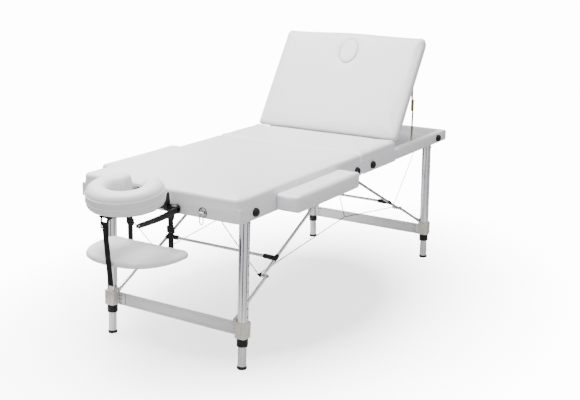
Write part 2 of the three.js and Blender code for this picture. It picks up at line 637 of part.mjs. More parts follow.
function buildCradle() {
  const slide = new THREE.Group();
  table.add(slide);
  const postEnd = -HEAD_LENGTH + POST_REACH;
  const tiltBar = (from, to, radius, sides) => bar(
    [CRADLE_TILT_X, from, CRADLE_HEIGHT], [CRADLE_TILT_X, to, CRADLE_HEIGHT], radius, sides);
  const parts = [tiltBar(-TILT_AXLE_REACH, TILT_AXLE_REACH, TILT_AXLE_RADIUS, 12)];
  for (const [, side] of SIDES) {
    const y = side * CRADLE_POST_Y;
    parts.push(bar([CRADLE_TILT_X, y, CRADLE_HEIGHT], [postEnd, y, CRADLE_HEIGHT], POST_RADIUS));
    const [inner, outer] = TILT_KNUCKLE_Y;
    parts.push(tiltBar(side * inner, side * outer, TILT_KNUCKLE_RADIUS, 16));
  }
  piece('cradle_frame', union(...parts), blackPlastic, slide);

  const head = new THREE.Group();
  head.position.set(CRADLE_TILT_X, 0, CRADLE_HEIGHT);
  head.rotation.y = -CRADLE_REST_TILT;
  table.add(head);
  const centreX = CRADLE_REAR - CRADLE_LENGTH / 2;
  const cushion = horseshoe(
    (shape) => pad(shape, CRADLE_CUSHION_BOTTOM, CRADLE_CUSHION_HEIGHT, 20, 9),
    0, CRADLE_CUSHION_BOTTOM, CRADLE_CUSHION_HEIGHT, 16).translate(centreX, 0, 0);
  piece('cradle_cushion', cushion, leatherette, head);
  const plateTop = CRADLE_CUSHION_BOTTOM - GAP;
  const plateBottom = plateTop - PLATFORM_THICKNESS;
  const plate = horseshoe(
    (shape) => prism(shape, plateBottom, PLATFORM_THICKNESS, 9),
    PLATFORM_MARGIN, plateBottom, PLATFORM_THICKNESS, 0).translate(centreX, 0, 0);
  const arms = [];
  const axle = bar([0, -TILT_AXLE_REACH, 0], [0, TILT_AXLE_REACH, 0], TILT_AXLE_RADIUS + GAP, 12);
  for (const [, side] of SIDES) {
    const y = PLATFORM_ARM_Y.map((place) => side * place).sort((a, b) => a - b);
    arms.push(cut(union(
      bar([0, y[0], 0], [0, y[1], 0], TILT_KNUCKLE_RADIUS, 16),
      box(-TILT_KNUCKLE_RADIUS, TILT_AXLE_RADIUS, ...y, 0, plateTop - 1),
      box(-PLATFORM_ARM_LENGTH, 0, ...y, plateTop - 1 - PLATFORM_ARM_HEIGHT, plateTop - 1),
    ), axle));
  }
  piece('cradle_platform', union(plate, ...arms), blackPlastic, head);

  const lever = new THREE.Group();
  lever.position.set(CRADLE_TILT_X, 0, CRADLE_HEIGHT);
  lever.rotation.y = -LEVER_ANGLE;
  table.add(lever);
  const grip = new THREE.Shape();
  grip.absarc(0, 0, LEVER_HUB_RADIUS, -Math.PI / 2, Math.PI / 2);
  grip.absarc(-LEVER_LENGTH, 0, LEVER_TIP_RADIUS, Math.PI / 2, 1.5 * Math.PI);
  grip.holes.push(circle(4, -LEVER_LENGTH), circle(TILT_AXLE_RADIUS + GAP));
  const blade = prism(grip, -LEVER_THICKNESS / 2, LEVER_THICKNESS, 8)
    .rotateX(Math.PI / 2).translate(0, LEVER_Y, 0);
  piece('cradle_lever', blade, blackPlastic, lever);
}

// ---------- arm shelf and its straps ----------

const SHELF_TOP = 484;
const SHELF_THICKNESS = 24;
const SHELF_BACK_X = -HEAD_LENGTH - 38;
const SHELF_DEPTH = 262;
const SHELF_HALF_WIDTH = 195;
const SHELF_CORNER = 40;
const SHELF_FULLNESS = 2.5; // 2 makes the shelf's front an ellipse, more makes it squarer
const STRAP_Y = 98;
const STRAP_WIDTH = 25;
const STRAP_THICKNESS = 1.8;
const REAR_STRAP_TOP = 612;
const FRONT_STRAP_BOTTOM = 392;
const FRONT_STRAP_TOP = 645; // just under the tilted platform
const REAR_STRAP_OFFSET = 16; // rear straps' distance from the tilt axis

// A half moon whose straight side faces the table, with that side's corners rounded.
function halfMoon() {
  const shape = new THREE.Shape();
  const corner = SHELF_CORNER;
  shape.absarc(-corner, SHELF_HALF_WIDTH - corner, corner, 0, Math.PI / 2);
  const steps = 24;
  const power = 2 / SHELF_FULLNESS;
  for (let i = 1; i < steps; i += 1) {
    const angle = (Math.PI * i) / steps;
    const across = Math.cos(angle);
    shape.lineTo(
      -corner - (SHELF_DEPTH - corner) * Math.pow(Math.sin(angle), power),
      SHELF_HALF_WIDTH * Math.sign(across) * Math.pow(Math.abs(across), power));
  }
  shape.absarc(-corner, corner - SHELF_HALF_WIDTH, corner, 1.5 * Math.PI, 2 * Math.PI);
  return shape;
}

function buildArmShelf() {
  const shelf = pad(halfMoon(), SHELF_TOP - SHELF_THICKNESS, SHELF_THICKNESS, 8, 5)
    .translate(SHELF_BACK_X, 0, 0);
  piece('arm_shelf', shelf, leatherette);
  const rearX = CRADLE_TILT_X - REAR_STRAP_OFFSET;
  for (const [sideName, side] of SIDES) {
    const y = side * STRAP_Y;
    piece(`shelf_strap_${sideName}`, box(
      rearX - STRAP_THICKNESS, rearX, y - STRAP_WIDTH / 2, y + STRAP_WIDTH / 2,
      SHELF_TOP + GAP, REAR_STRAP_TOP), webbing);
  }
  const frontX = SHELF_BACK_X - SHELF_DEPTH - GAP;
  piece('shelf_strap_front', box(
    frontX - STRAP_THICKNESS, frontX, -STRAP_WIDTH / 2, STRAP_WIDTH / 2,
    FRONT_STRAP_BOTTOM, FRONT_STRAP_TOP), webbing);
}

// ---------- side armrests ----------

function buildArmrest(sideName, side) {
  const inner = WIDTH / 2 + GAP;
  const [y0, y1] = [side * inner, side * (inner + ARMREST_WIDTH)];
  const cushion = flatPad(
    ...ARMREST_X, Math.min(y0, y1), Math.max(y0, y1), ARMREST_BOTTOM, ARMREST_HEIGHT, ARMREST_CORNER, 9);
  const pins = ARMREST_PIN_X.map((x) => bar(
    [x, side * (inner + 40), ARMREST_PIN_Z], [x, side * (INSIDE_Y - 25), ARMREST_PIN_Z],
    ARMREST_PIN_RADIUS));
  piece(`armrest_${sideName}`, union(cushion, ...pins), leatherette);
}

// ---------- the whole table ----------

buildHeadHalf();
buildFootHalf();
piece('fold_hinge_head_leaf', hingeLeaf(-1, 0), steel);
piece('fold_hinge_foot_leaf', hingeLeaf(1, 1), steel);
buildBackrest();
buildStays();
for (const [endName, end, length] of ENDS) {
  buildLegs(endName, end, length);
  buildStruts(endName, end, length);
}
for (const [sideName, side] of SIDES) {
  piece(`brace_cable_${sideName}`, braceCable(side), steel);
  buildArmrest(sideName, side);
}
buildLatch();
buildCradle();
buildArmShelf();

export default table;
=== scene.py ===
"""A portable three-section massage table: upholstery, tubes, straps and cables round the CAD frame.

Metres. +X runs from the face cradle to the backrest end, -Y is the side that the camera sees.
"""

import json
import math

import bmesh
import bpy
from mathutils import Matrix, Vector
from mathutils.bvhtree import BVHTree


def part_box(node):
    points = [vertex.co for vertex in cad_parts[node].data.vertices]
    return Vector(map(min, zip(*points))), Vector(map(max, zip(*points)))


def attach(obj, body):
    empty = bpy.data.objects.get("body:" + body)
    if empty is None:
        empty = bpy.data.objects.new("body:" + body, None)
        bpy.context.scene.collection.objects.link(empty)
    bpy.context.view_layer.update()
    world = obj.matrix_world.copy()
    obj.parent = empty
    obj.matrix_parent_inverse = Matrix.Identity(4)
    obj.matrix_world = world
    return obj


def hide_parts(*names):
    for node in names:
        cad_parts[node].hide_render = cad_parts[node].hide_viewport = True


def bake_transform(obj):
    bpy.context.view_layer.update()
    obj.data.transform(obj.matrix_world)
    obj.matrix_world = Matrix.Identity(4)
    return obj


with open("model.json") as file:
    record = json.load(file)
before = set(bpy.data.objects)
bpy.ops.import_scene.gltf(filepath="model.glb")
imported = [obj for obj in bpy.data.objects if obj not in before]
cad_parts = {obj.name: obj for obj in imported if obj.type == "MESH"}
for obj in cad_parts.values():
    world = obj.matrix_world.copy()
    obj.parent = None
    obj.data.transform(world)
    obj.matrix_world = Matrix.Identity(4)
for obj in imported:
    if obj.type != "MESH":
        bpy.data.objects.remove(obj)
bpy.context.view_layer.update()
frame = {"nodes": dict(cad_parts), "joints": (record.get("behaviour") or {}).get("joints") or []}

JOINTS = {joint["name"]: joint for joint in frame["joints"]}
SIDES = (("right", -1), ("left", 1))
ENDS = (("head", -1), ("foot", 1))
MM = 0.001
GAP = 0.3 * MM


def joint_place(name):
    return Vector(JOINTS[name]["pos_m"])


def mm(*rows):
    """Rows of millimetres as a list of tuples in metres."""
    return [tuple(value * MM for value in row) for row in rows]


# ---------- places taken from the frame ----------

HEAD_LOW, HEAD_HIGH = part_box("head_frame")
FOOT_LOW, FOOT_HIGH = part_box("foot_frame")
MID_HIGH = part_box("mid_cushion")[1]
HALF_WIDTH = HEAD_HIGH.y
RAIL_TOP = HEAD_HIGH.z
UNDERSIDE = HEAD_LOW.z
TABLE_TOP = MID_HIGH.z
WRAP = 1.5 * MM  # how far the wrapped sides stand proud of the rails
FOLD_X = joint_place("table_fold").x
HINGE = joint_place("backrest_recline")
RECLINE = math.radians(JOINTS["backrest_recline"]["range_deg"][1])
BACKREST = Matrix.Translation(HINGE) @ Matrix.Rotation(-RECLINE, 4, "Y")
TILT = joint_place("cradle_tilt")
CRADLE_LEAN = math.radians(8)  # the cradle's outer edge hangs down by this much at rest
CRADLE = Matrix.Translation(TILT) @ Matrix.Rotation(-CRADLE_LEAN, 4, "Y")


# ---------- camera, light and floor ----------

CAMERA_PLACE = Vector((-3.6785, -2.346, 1.637))
CAMERA_HEADING = math.radians(34.31)
CAMERA_DROP = math.radians(14.55)
CAMERA_LENS = 63.4
CAMERA_SHIFT = (0.0948, -0.0125)


def make_camera():
    data = bpy.data.cameras.new("camera")
    data.lens = CAMERA_LENS
    data.shift_x, data.shift_y = CAMERA_SHIFT
    data.clip_end = 60
    camera = bpy.data.objects.new("camera", data)
    bpy.context.scene.collection.objects.link(camera)
    level = math.cos(CAMERA_DROP)
    ahead = Vector((
        math.cos(CAMERA_HEADING) * level, math.sin(CAMERA_HEADING) * level, -math.sin(CAMERA_DROP)))
    camera.location = CAMERA_PLACE
    camera.rotation_mode = "QUATERNION"
    camera.rotation_quaternion = ahead.to_track_quat("-Z", "Y")
    bpy.context.scene.camera = camera


def area_light(name, place, target, size, power):
    data = bpy.data.lights.new(name, "AREA")
    data.shape = "RECTANGLE"
    data.size, data.size_y = size
    data.energy = power
    light = bpy.data.objects.new(name, data)
    bpy.context.scene.collection.objects.link(light)
    light.location = place
    light.rotation_mode = "QUATERNION"
    light.rotation_quaternion = (Vector(target) - Vector(place)).to_track_quat("-Z", "Y")


def add_node(tree, kind, inputs, output=0, **settings):
    """Adds a shader node and returns one output. Each input is a value, or an output to link from."""
    node = tree.nodes.new("ShaderNode" + kind)
    for key, value in settings.items():
        setattr(node, key, value)
    for key, value in inputs.items():
        if isinstance(value, bpy.types.NodeSocket):
            tree.links.new(value, node.inputs[key])
        else:
            node.inputs[key].default_value = value
    return node.outputs[output]


def add_ramp(tree, value, dark, light, start=0.0, stop=1.0):
    ramp = tree.nodes.new("ShaderNodeValToRGB")
    for element, color, position in zip(ramp.color_ramp.elements, (dark, light), (start, stop)):
        element.color = (*color, 1)
        element.position = position
    tree.links.new(value, ramp.inputs["Fac"])
    return ramp.outputs["Color"]


BACKDROP_STRENGTH = 14
ROOM_PANELS = 5.0  # bright upright panels round the room
ROOM_DARK = (0.03, 0.03, 0.035)
ROOM_BRIGHT = (1.25, 1.25, 1.27)
ROOM_CEILING = (1.5, 1.5, 1.52, 1)


def make_world():
    """A white backdrop that only the camera sees, and a room of bright panels for light and reflections."""
    world = bpy.data.worlds.new("studio")
    bpy.context.scene.world = world
    world.use_nodes = True
    tree = world.node_tree
    backdrop = tree.nodes["Background"]
    backdrop.inputs["Color"].default_value = (1, 1, 1, 1)
    backdrop.inputs["Strength"].default_value = BACKDROP_STRENGTH
    place = add_node(tree, "TexCoord", {}, "Generated")
    parts = add_node(tree, "SeparateXYZ", {"Vector": place}).node.outputs
    turn = add_node(tree, "Math", {0: parts["Y"], 1: parts["X"]}, operation="ARCTAN2")
    fast = add_node(tree, "Math", {0: turn, 1: ROOM_PANELS}, operation="MULTIPLY")
    stripes = add_node(tree, "Math", {0: fast}, operation="SINE")
    level = add_node(tree, "MapRange", {"Value": stripes, "From Min": -1})
    panels = add_ramp(tree, level, ROOM_DARK, ROOM_BRIGHT, 0.45, 0.62)
    height = add_node(tree, "MapRange", {"Value": parts["Z"], "From Min": 0.15, "From Max": 0.75})
    walls = add_node(
        tree, "Mix", {"Factor": height, "A": panels, "B": ROOM_CEILING}, "Result", data_type="RGBA")
    room = add_node(tree, "Background", {"Color": walls, "Strength": 1.0})
    seen = add_node(tree, "LightPath", {}, "Is Camera Ray")
    shown = add_node(tree, "MixShader", {"Fac": seen, 1: room, 2: backdrop.outputs["Background"]})
    tree.links.new(shown, tree.nodes["World Output"].inputs["Surface"])


def make_studio():
    make_world()
    area_light("key", (-0.3, 1.0, 3.4), (0, 0, 0.6), (2.0, 1.8), 230)
    area_light("fill", (-3.8, -2.6, 1.6), (0, 0, 0.6), (1.4, 2.4), 20)
    area_light("rim", (2.2, 3.2, 2.2), (0, 0, 0.5), (2.0, 1.6), 60)
    floor = bpy.data.meshes.new("floor")
    half = 3.4
    floor.from_pydata(
        [(-half, -half, 0), (half, -half, 0), (half, half, 0), (-half, half, 0)], [], [(0, 1, 2, 3)])
    ground = bpy.data.objects.new("floor", floor)
    bpy.context.scene.collection.objects.link(ground)
    ground.location.z = -0.5 * MM
    floor.materials.append(floor_material())


# ---------- materials ----------

class Look:
    """A material being built: a Principled shader and the nodes that feed it."""

    def __init__(self, name, color, roughness, metallic=0.0):
        self.material = bpy.data.materials.new(name)
        self.material.use_nodes = True
        self.tree = self.material.node_tree
        self.shader = self.tree.nodes["Principled BSDF"]
        self.set("Base Color", (*color, 1))
        self.set("Roughness", roughness)
        self.set("Metallic", metallic)
        self.height = None
        self.place = add_node(self.tree, "TexCoord", {}, "Object")

    def set(self, name, value):
        self.shader.inputs[name].default_value = value

    def feed(self, name, output):
        self.tree.links.new(output, self.shader.inputs[name])

    def stretched(self, scale):
        return add_node(self.tree, "Mapping", {"Vector": self.place, "Scale": scale})

    def noise(self, scale, detail=3, vector=None):
        inputs = {"Vector": vector or self.place, "Scale": scale, "Detail": detail}
        return add_node(self.tree, "TexNoise", inputs, "Fac")

    def cells(self, scale):
        return add_node(self.tree, "TexVoronoi", {"Vector": self.place, "Scale": scale}, "Distance")

    def wave(self, scale, direction):
        inputs = {"Vector": self.place, "Scale": scale}
        return add_node(self.tree, "TexWave", inputs, "Fac", bands_direction=direction)

    def remap(self, value, low, high, start=0.0, stop=1.0):
        inputs = {"Value": value, "From Min": start, "From Max": stop, "To Min": low, "To Max": high}
        return add_node(self.tree, "MapRange", inputs)

    def tint(self, value, dark, light):
        self.feed("Base Color", add_ramp(self.tree, value, dark, light))

    def roughness(self, value, low, high):
        self.feed("Roughness", self.remap(value, low, high))

    def bump(self, value, depth, strength=1.0):
        inputs = {"Height": value, "Distance": depth, "Strength": strength}
        if self.height is not None:
            inputs["Normal"] = self.height
        self.height = add_node(self.tree, "Bump", inputs)
        self.feed("Normal", self.height)


def leatherette_material(name, dark, light):
    """White PVC: a fine pebbled grain, faint stretch creases and a soft gloss."""
    look = Look(name, light, 0.42)
    look.tint(look.noise(2.2, 4), dark, light)
    look.roughness(look.noise(34, 3), 0.36, 0.5)
    look.set("Coat Weight", 0.12)
    look.set("Coat Roughness", 0.35)
    look.bump(look.cells(900), 0.10 * MM, 0.35)
    look.bump(look.noise(9, 2, look.stretched((1, 1, 3))), 1.5 * MM, 0.16)
    return look.material


def metal_material(name, dark, light, roughness, streak_scale=(1, 1, 1), depth=0.02 * MM, metallic=1.0):
    """Drawn or rolled metal with fine streaks along its length."""
    look = Look(name, light, roughness, metallic)
    streaks = look.noise(140, 4, look.stretched(streak_scale))
    look.tint(streaks, dark, light)
    look.roughness(look.noise(60, 3), roughness * 0.75, roughness * 1.3)
    look.bump(streaks, depth, 0.4)
    return look.material


def plastic_material(name, color, roughness, grain=700):
    """Moulded plastic with a fine spark-eroded texture."""
    look = Look(name, color, roughness)
    look.set("Specular IOR Level", 0.3)
    light = tuple(c * 1.6 + 0.002 for c in color)
    look.tint(look.noise(30, 4), color, light)
    look.roughness(look.noise(55, 3), roughness * 0.8, roughness * 1.2)
    look.bump(look.noise(grain, 2), 0.06 * MM, 0.5)
    return look.material


def webbing_material():
    """Black nylon webbing with a close rib across it."""
    look = Look("black_webbing", (0.004, 0.004, 0.005), 0.8)
    look.set("Specular IOR Level", 0.25)
    ribs = look.wave(240, "Z")
    threads = look.wave(420, "Y")
    look.tint(ribs, (0.002, 0.002, 0.0025), (0.009, 0.009, 0.01))
    look.bump(ribs, 0.3 * MM, 0.6)
    look.bump(threads, 0.15 * MM, 0.4)
    return look.material


def board_material():
    """Grey-faced fibreboard: fine flecks and a dull face."""
    look = Look("grey_board", (0.42, 0.42, 0.43), 0.7)
    look.tint(look.noise(160, 5), (0.36, 0.36, 0.37), (0.47, 0.47, 0.48))
    look.bump(look.noise(420, 3), 0.08 * MM, 0.4)
    return look.material


def cable_material():
    """Twisted steel cable under a thin clear sleeve."""
    look = Look("steel_cable", (0.1, 0.1, 0.11), 0.4, 0.6)
    lay = look.wave(260, "DIAGONAL")
    look.tint(lay, (0.03, 0.03, 0.033), (0.12, 0.12, 0.125))
    look.bump(lay, 0.25 * MM, 0.7)
    return look.material


def floor_material():
    """A pale floor with a faint warm gloss that fades into the white backdrop round the table."""
    look = Look("pale_floor", (0.97, 0.96, 0.95), 0.4)
    look.tint(look.noise(0.6, 2), (0.955, 0.945, 0.935), (0.985, 0.975, 0.965))
    look.roughness(look.noise(3, 2), 0.3, 0.4)
    tree = look.tree
    squeezed = look.stretched((0.82, 1.2, 1))
    distance = add_node(tree, "VectorMath", {0: squeezed}, "Value", operation="LENGTH")
    fade = look.remap(distance, 0.12, 1.0, 0.55, 1.6)
    clear = add_node(tree, "BsdfTransparent", {})
    mix = add_node(tree, "MixShader", {"Fac": fade, 1: look.shader.outputs["BSDF"], 2: clear})
    tree.links.new(mix, tree.nodes["Material Output"].inputs["Surface"])
    return look.material


UPHOLSTERY = leatherette_material("white_leatherette", (0.78, 0.78, 0.80), (0.83, 0.83, 0.845))
PIPING = leatherette_material("white_piping", (0.86, 0.86, 0.865), (0.9, 0.9, 0.9))
BOARD = board_material()
ALUMINIUM = metal_material("drawn_aluminium", (0.5, 0.5, 0.52), (0.78, 0.78, 0.8), 0.14, (9, 9, 0.5))
STRUT_METAL = metal_material("strut_aluminium", (0.5, 0.5, 0.52), (0.78, 0.78, 0.8), 0.14, (0.6, 9, 9))
SHEET_METAL = metal_material("sheet_aluminium", (0.5, 0.5, 0.52), (0.7, 0.7, 0.72), 0.36, (9, 0.4, 9))
CAST = metal_material("cast_alloy", (0.55, 0.52, 0.46), (0.72, 0.69, 0.62), 0.42, (3, 3, 3), 0.1 * MM, 0.75)
STEEL = metal_material("zinc_steel", (0.42, 0.42, 0.44), (0.62, 0.62, 0.64), 0.32, (2, 2, 2))
DARK_STEEL = metal_material("dark_steel", (0.05, 0.05, 0.055), (0.12, 0.12, 0.125), 0.3)
CHROME = metal_material("polished_chrome", (0.5, 0.5, 0.52), (0.72, 0.72, 0.74), 0.1, (1, 1, 1), 0.01 * MM)
ZINC_YELLOW = metal_material("yellow_zinc", (0.42, 0.34, 0.18), (0.62, 0.53, 0.34), 0.34, (4, 4, 0.8))
BLACK = plastic_material("black_plastic", (0.003, 0.003, 0.0035), 0.38)
RUBBER = plastic_material("black_rubber", (0.004, 0.004, 0.0045), 0.5, 300)
WEBBING = webbing_material()
CABLE = cable_material()


# ---------- mesh helpers ----------

def finish_mesh(name, mesh, material, smooth_angle=40):
    mesh.materials.clear()
    mesh.materials.append(material)
    for polygon in mesh.polygons:
        polygon.use_smooth = True
    mesh.set_sharp_from_angle(angle=math.radians(smooth_angle))
    piece = bpy.data.objects.new(name, mesh)
    bpy.context.scene.collection.objects.link(piece)
    return piece


def from_faces(name, points, faces, material, smooth_angle=40):
    mesh = bpy.data.meshes.new(name)
    mesh.from_pydata([tuple(p) for p in points], [], faces)
    work = bmesh.new()
    work.from_mesh(mesh)
    bmesh.ops.remove_doubles(work, verts=work.verts, dist=0.01 * MM)
    bmesh.ops.recalc_face_normals(work, faces=work.faces)
    work.to_mesh(mesh)
    work.free()
    return finish_mesh(name, mesh, material, smooth_angle)


def loft(name, rings, material, closed=False, smooth_angle=40):
    """Joins rings of equal length into one skin, capped at both ends or closed on itself."""
    count = len(rings[0])
    points = [p for ring in rings for p in ring]
    faces = []
    steps = len(rings) if closed else len(rings) - 1
    for i in range(steps):
        a = i * count
        b = ((i + 1) % len(rings)) * count
        for j in range(count):
            k = (j + 1) % count
            faces.append((a + j, a + k, b + k, b + j))
    if not closed:
        faces.append(tuple(range(count)))
        faces.append(tuple(range(len(points) - count, len(points))))
    return from_faces(name, points, faces, material, smooth_angle)


def lathe(name, profile, place, axis, material, sides=40, smooth_angle=35, closed=False):
    """Turns (distance along the axis, radius) pairs about an axis: capped, or closed into a ring."""
    turn = Vector((0, 0, 1)).rotation_difference(Vector(axis).normalized())
    rings = []
    for along, radius in profile:
        ring = []
        for i in range(sides):
            angle = 2 * math.pi * i / sides
            point = Vector((radius * math.cos(angle), radius * math.sin(angle), along))
            ring.append(Vector(place) + turn @ point)
        rings.append(ring)
    return loft(name, rings, material, closed=closed, smooth_angle=smooth_angle)


def tube(name, points, radius, material, sides=12):
    """A round bar through the given points."""
    points = [Vector(p) for p in points]
    rings = []
    side = None
    for i, point in enumerate(points):
        ahead = points[min(i + 1, len(points) - 1)] - points[max(i - 1, 0)]
        ahead.normalize()
        if side is None:
            side = ahead.orthogonal().normalized()
        side = (side - ahead * side.dot(ahead)).normalized()
        other = ahead.cross(side)
        ring = []
        for j in range(sides):
            angle = 2 * math.pi * j / sides
            ring.append(point + (side * math.cos(angle) + other * math.sin(angle)) * radius)
        rings.append(ring)
    return loft(name, rings, material, smooth_angle=60)


def block(name, low, high, bevel, material, segments=3):
    """A box with rounded edges."""
    mesh = bpy.data.meshes.new(name)
    work = bmesh.new()
    bmesh.ops.create_cube(work, size=1)
    low, high = Vector(low), Vector(high)
    for vertex in work.verts:
        vertex.co = Vector(
            (low[i] + high[i]) / 2 + vertex.co[i] * abs(high[i] - low[i]) for i in range(3))
    bmesh.ops.bevel(
        work, geom=list(work.edges), offset=bevel, segments=segments, profile=0.5, affect="EDGES")
    work.to_mesh(mesh)
    work.free()
    return finish_mesh(name, mesh, material)


def apply_modifier(piece, kind, **settings):
    modifier = piece.modifiers.new("step", kind)
    for key, value in settings.items():
        setattr(modifier, key, value)
    graph = bpy.context.evaluated_depsgraph_get()
    made = bpy.data.meshes.new_from_object(piece.evaluated_get(graph), depsgraph=graph)
    piece.modifiers.clear()
    old = piece.data
    piece.data = made
    bpy.data.meshes.remove(old)
    return piece


def carve(piece, *cutters):
    for cutter in cutters:
        apply_modifier(piece, "BOOLEAN", object=cutter, operation="DIFFERENCE", solver="EXACT")
        bpy.data.objects.remove(cutter)
    return piece


def smooth_shade(piece, angle=40):
    for polygon in piece.data.polygons:
        polygon.use_smooth = True
    piece.data.set_sharp_from_angle(angle=math.radians(angle))
    return piece


def merge(name, pieces):
    """Joins pieces that are fixed to each other into one object."""
    work = bmesh.new()
    materials = []
    for piece in pieces:
        part = bmesh.new()
        part.from_mesh(piece.data)
        part.transform(piece.matrix_world)
        if piece.data.materials[0] not in materials:
            materials.append(piece.data.materials[0])
        for face in part.faces:
            face.material_index = materials.index(piece.data.materials[0])
        holder = bpy.data.meshes.new("holder")
        part.to_mesh(holder)
        part.free()
        work.from_mesh(holder)
        bpy.data.meshes.remove(holder)
        bpy.data.objects.remove(piece)
    mesh = bpy.data.meshes.new(name)
    work.to_mesh(mesh)
    work.free()
    for material in materials:
        mesh.materials.append(material)
    whole = bpy.data.objects.new(name, mesh)
    bpy.context.scene.collection.objects.link(whole)
    return smooth_shade(whole)


# ---------- upholstery ----------

def grid_lines(low, high, cell, fine):
    """Grid positions from low to high, closer together within a fine zone at each end."""
    steps = 5
    start = [low + fine * i / steps for i in range(steps)]
    end = [high - fine * i / steps for i in range(steps)][::-1]
    count = max(2, round((high - low - 2 * fine) / cell))
    middle = [low + fine + (high - low - 2 * fine) * i / count for i in range(count + 1)]
    return start + middle + end


def slab(name, low, high, edge, corners, cell=0.014, flat_bottom=True):
    """A pad with rounded plan corners, one radius at each X end, and rounded top edges."""
    low, high = Vector(low), Vector(high)
    xs = grid_lines(low.x, high.x, cell, max(*corners, edge))
    ys = grid_lines(low.y, high.y, cell, max(*corners, edge))
    fine = min(edge, (high.z - low.z) * 0.45)
    zs = grid_lines(low.z, high.z, cell, fine)
    points = []

    def rounded(x, y, z):
        radius = corners[0] if x < (low.x + high.x) / 2 else corners[1]
        radius = max(radius, edge)
        core = Vector((
            min(max(x, low.x + radius), high.x - radius),
            min(max(y, low.y + radius), high.y - radius)))
        out = Vector((x, y)) - core
        reach = radius - edge
        if out.length > reach:
            core += out.normalized() * reach
        else:
            core += out
        base = low.z if flat_bottom else low.z + edge
        inner = Vector((core.x, core.y, min(max(z, base), high.z - edge)))
        away = Vector((x, y, z)) - inner
        if away.length > edge:
            away = away.normalized() * edge
        return inner + away

    index = {}
    faces = []

    def corner(i, j, k):
        key = (i, j, k)
        if key not in index:
            index[key] = len(points)
            points.append(rounded(xs[i], ys[j], zs[k]))
        return index[key]

    def face_grid(count_a, count_b, place):
        for a in range(count_a):
            for b in range(count_b):
                faces.append((place(a, b), place(a + 1, b), place(a + 1, b + 1), place(a, b + 1)))

    nx, ny, nz = len(xs) - 1, len(ys) - 1, len(zs) - 1
    for k in (0, nz):
        face_grid(nx, ny, lambda a, b, k=k: corner(a, b, k))
    for j in (0, ny):
        face_grid(nx, nz, lambda a, b, j=j: corner(a, j, b))
    for i in (0, nx):
        face_grid(ny, nz, lambda a, b, i=i: corner(i, a, b))
    return from_faces(name, points, faces, UPHOLSTERY, 60)


def remesh(piece, voxel, rounds=4):
    apply_modifier(piece, "REMESH", mode="VOXEL", voxel_size=voxel)
    apply_modifier(piece, "SMOOTH", factor=0.5, iterations=rounds)
    piece.data.materials.clear()
    piece.data.materials.append(UPHOLSTERY)
    return piece


COVER = {
    "quality": 6, "mass": 0.3, "tension_stiffness": 25, "compression_stiffness": 25, "shear_stiffness": 8,
    "bending_stiffness": 2, "use_pressure": True}


def swell(piece, pressure, cap, held):
    """Inflates a pad as cloth, by about cap at most. held(point) is True where the cover can't move."""
    frames = 20
    group = piece.vertex_groups.new(name="held")
    start = [v.co.copy() for v in piece.data.vertices]
    group.add([i for i, p in enumerate(start) if held(p)], 1.0, "REPLACE")
    cloth = piece.modifiers.new("cloth", "CLOTH")
    settings = cloth.settings
    for key, value in COVER.items():
        setattr(settings, key, value)
    settings.uniform_pressure_force = pressure
    settings.effector_weights.gravity = 0
    settings.vertex_group_mass = "held"
    cloth.point_cache.frame_start = 1
    cloth.point_cache.frame_end = frames
    scene = bpy.context.scene
    for number in range(1, frames + 1):
        scene.frame_set(number)
    graph = bpy.context.evaluated_depsgraph_get()
    blown = piece.evaluated_get(graph).to_mesh()
    moved = [v.co.copy() for v in blown.vertices]
    piece.modifiers.clear()
    piece.vertex_groups.clear()
    scene.frame_set(1)
    for vertex, before, after in zip(piece.data.vertices, start, moved):
        step = after - before
        if step.length > 1e-9:
            step *= cap * math.tanh(step.length / cap) / step.length
        vertex.co = before + step
    piece.data.update()
    return piece


def soften(piece, rounds=3):
    apply_modifier(piece, "SMOOTH", factor=0.4, iterations=rounds)
    apply_modifier(piece, "SUBSURF", levels=1, render_levels=1)
    return smooth_shade(piece, 50)


def fit(piece, body, slot, *replaced):
    """Fixes a piece to its body, in place of the CAD nodes it stands for. The slot argument is not used."""
    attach(piece, body)
    if replaced:
        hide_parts(*replaced)


def pad(piece, body, replaced):
    fit(piece, body, "upholstery", replaced)


CORNER = 30 * MM
FOLD_CORNER = 9 * MM
TOP_EDGE = 17 * MM
SWELL_PRESSURE = 4.0
SWELL_CAP = 4 * MM
CLEAR = 20 * MM  # how far a cutter reaches past what it cuts
PEG_Z = 634 * MM
PEG_INSET = 83 * MM  # the back peg, from the armrest's end
PEG_PITCH = 280 * MM
PEG_RADIUS = 6 * MM


def stapled(point):
    """The wrapped sides are stapled to the rails, so only the top of the cover can swell."""
    return point.z < RAIL_TOP - 4 * MM


def make_head_pad():
    """The head cushion, whose cover runs over the edges and down the rails to their lower face."""
    low = Vector((HEAD_LOW.x - WRAP, -HALF_WIDTH - WRAP, UNDERSIDE - GAP))
    high = Vector((HEAD_HIGH.x - GAP, HALF_WIDTH + WRAP, TABLE_TOP - 1 * MM))
    piece = slab("head_pad", low, high, TOP_EDGE, (CORNER, FOLD_CORNER))
    swell(piece, SWELL_PRESSURE, SWELL_CAP, stapled)
    cavity = block(
        "cavity", (HEAD_LOW.x - GAP, -HALF_WIDTH - GAP, UNDERSIDE - CLEAR),
        (HEAD_HIGH.x + CLEAR, HALF_WIDTH + GAP, RAIL_TOP + GAP), 8 * MM, UPHOLSTERY)
    carve(piece, cavity)
    pad(smooth_shade(piece, 50), "head_half", "head_cushion")


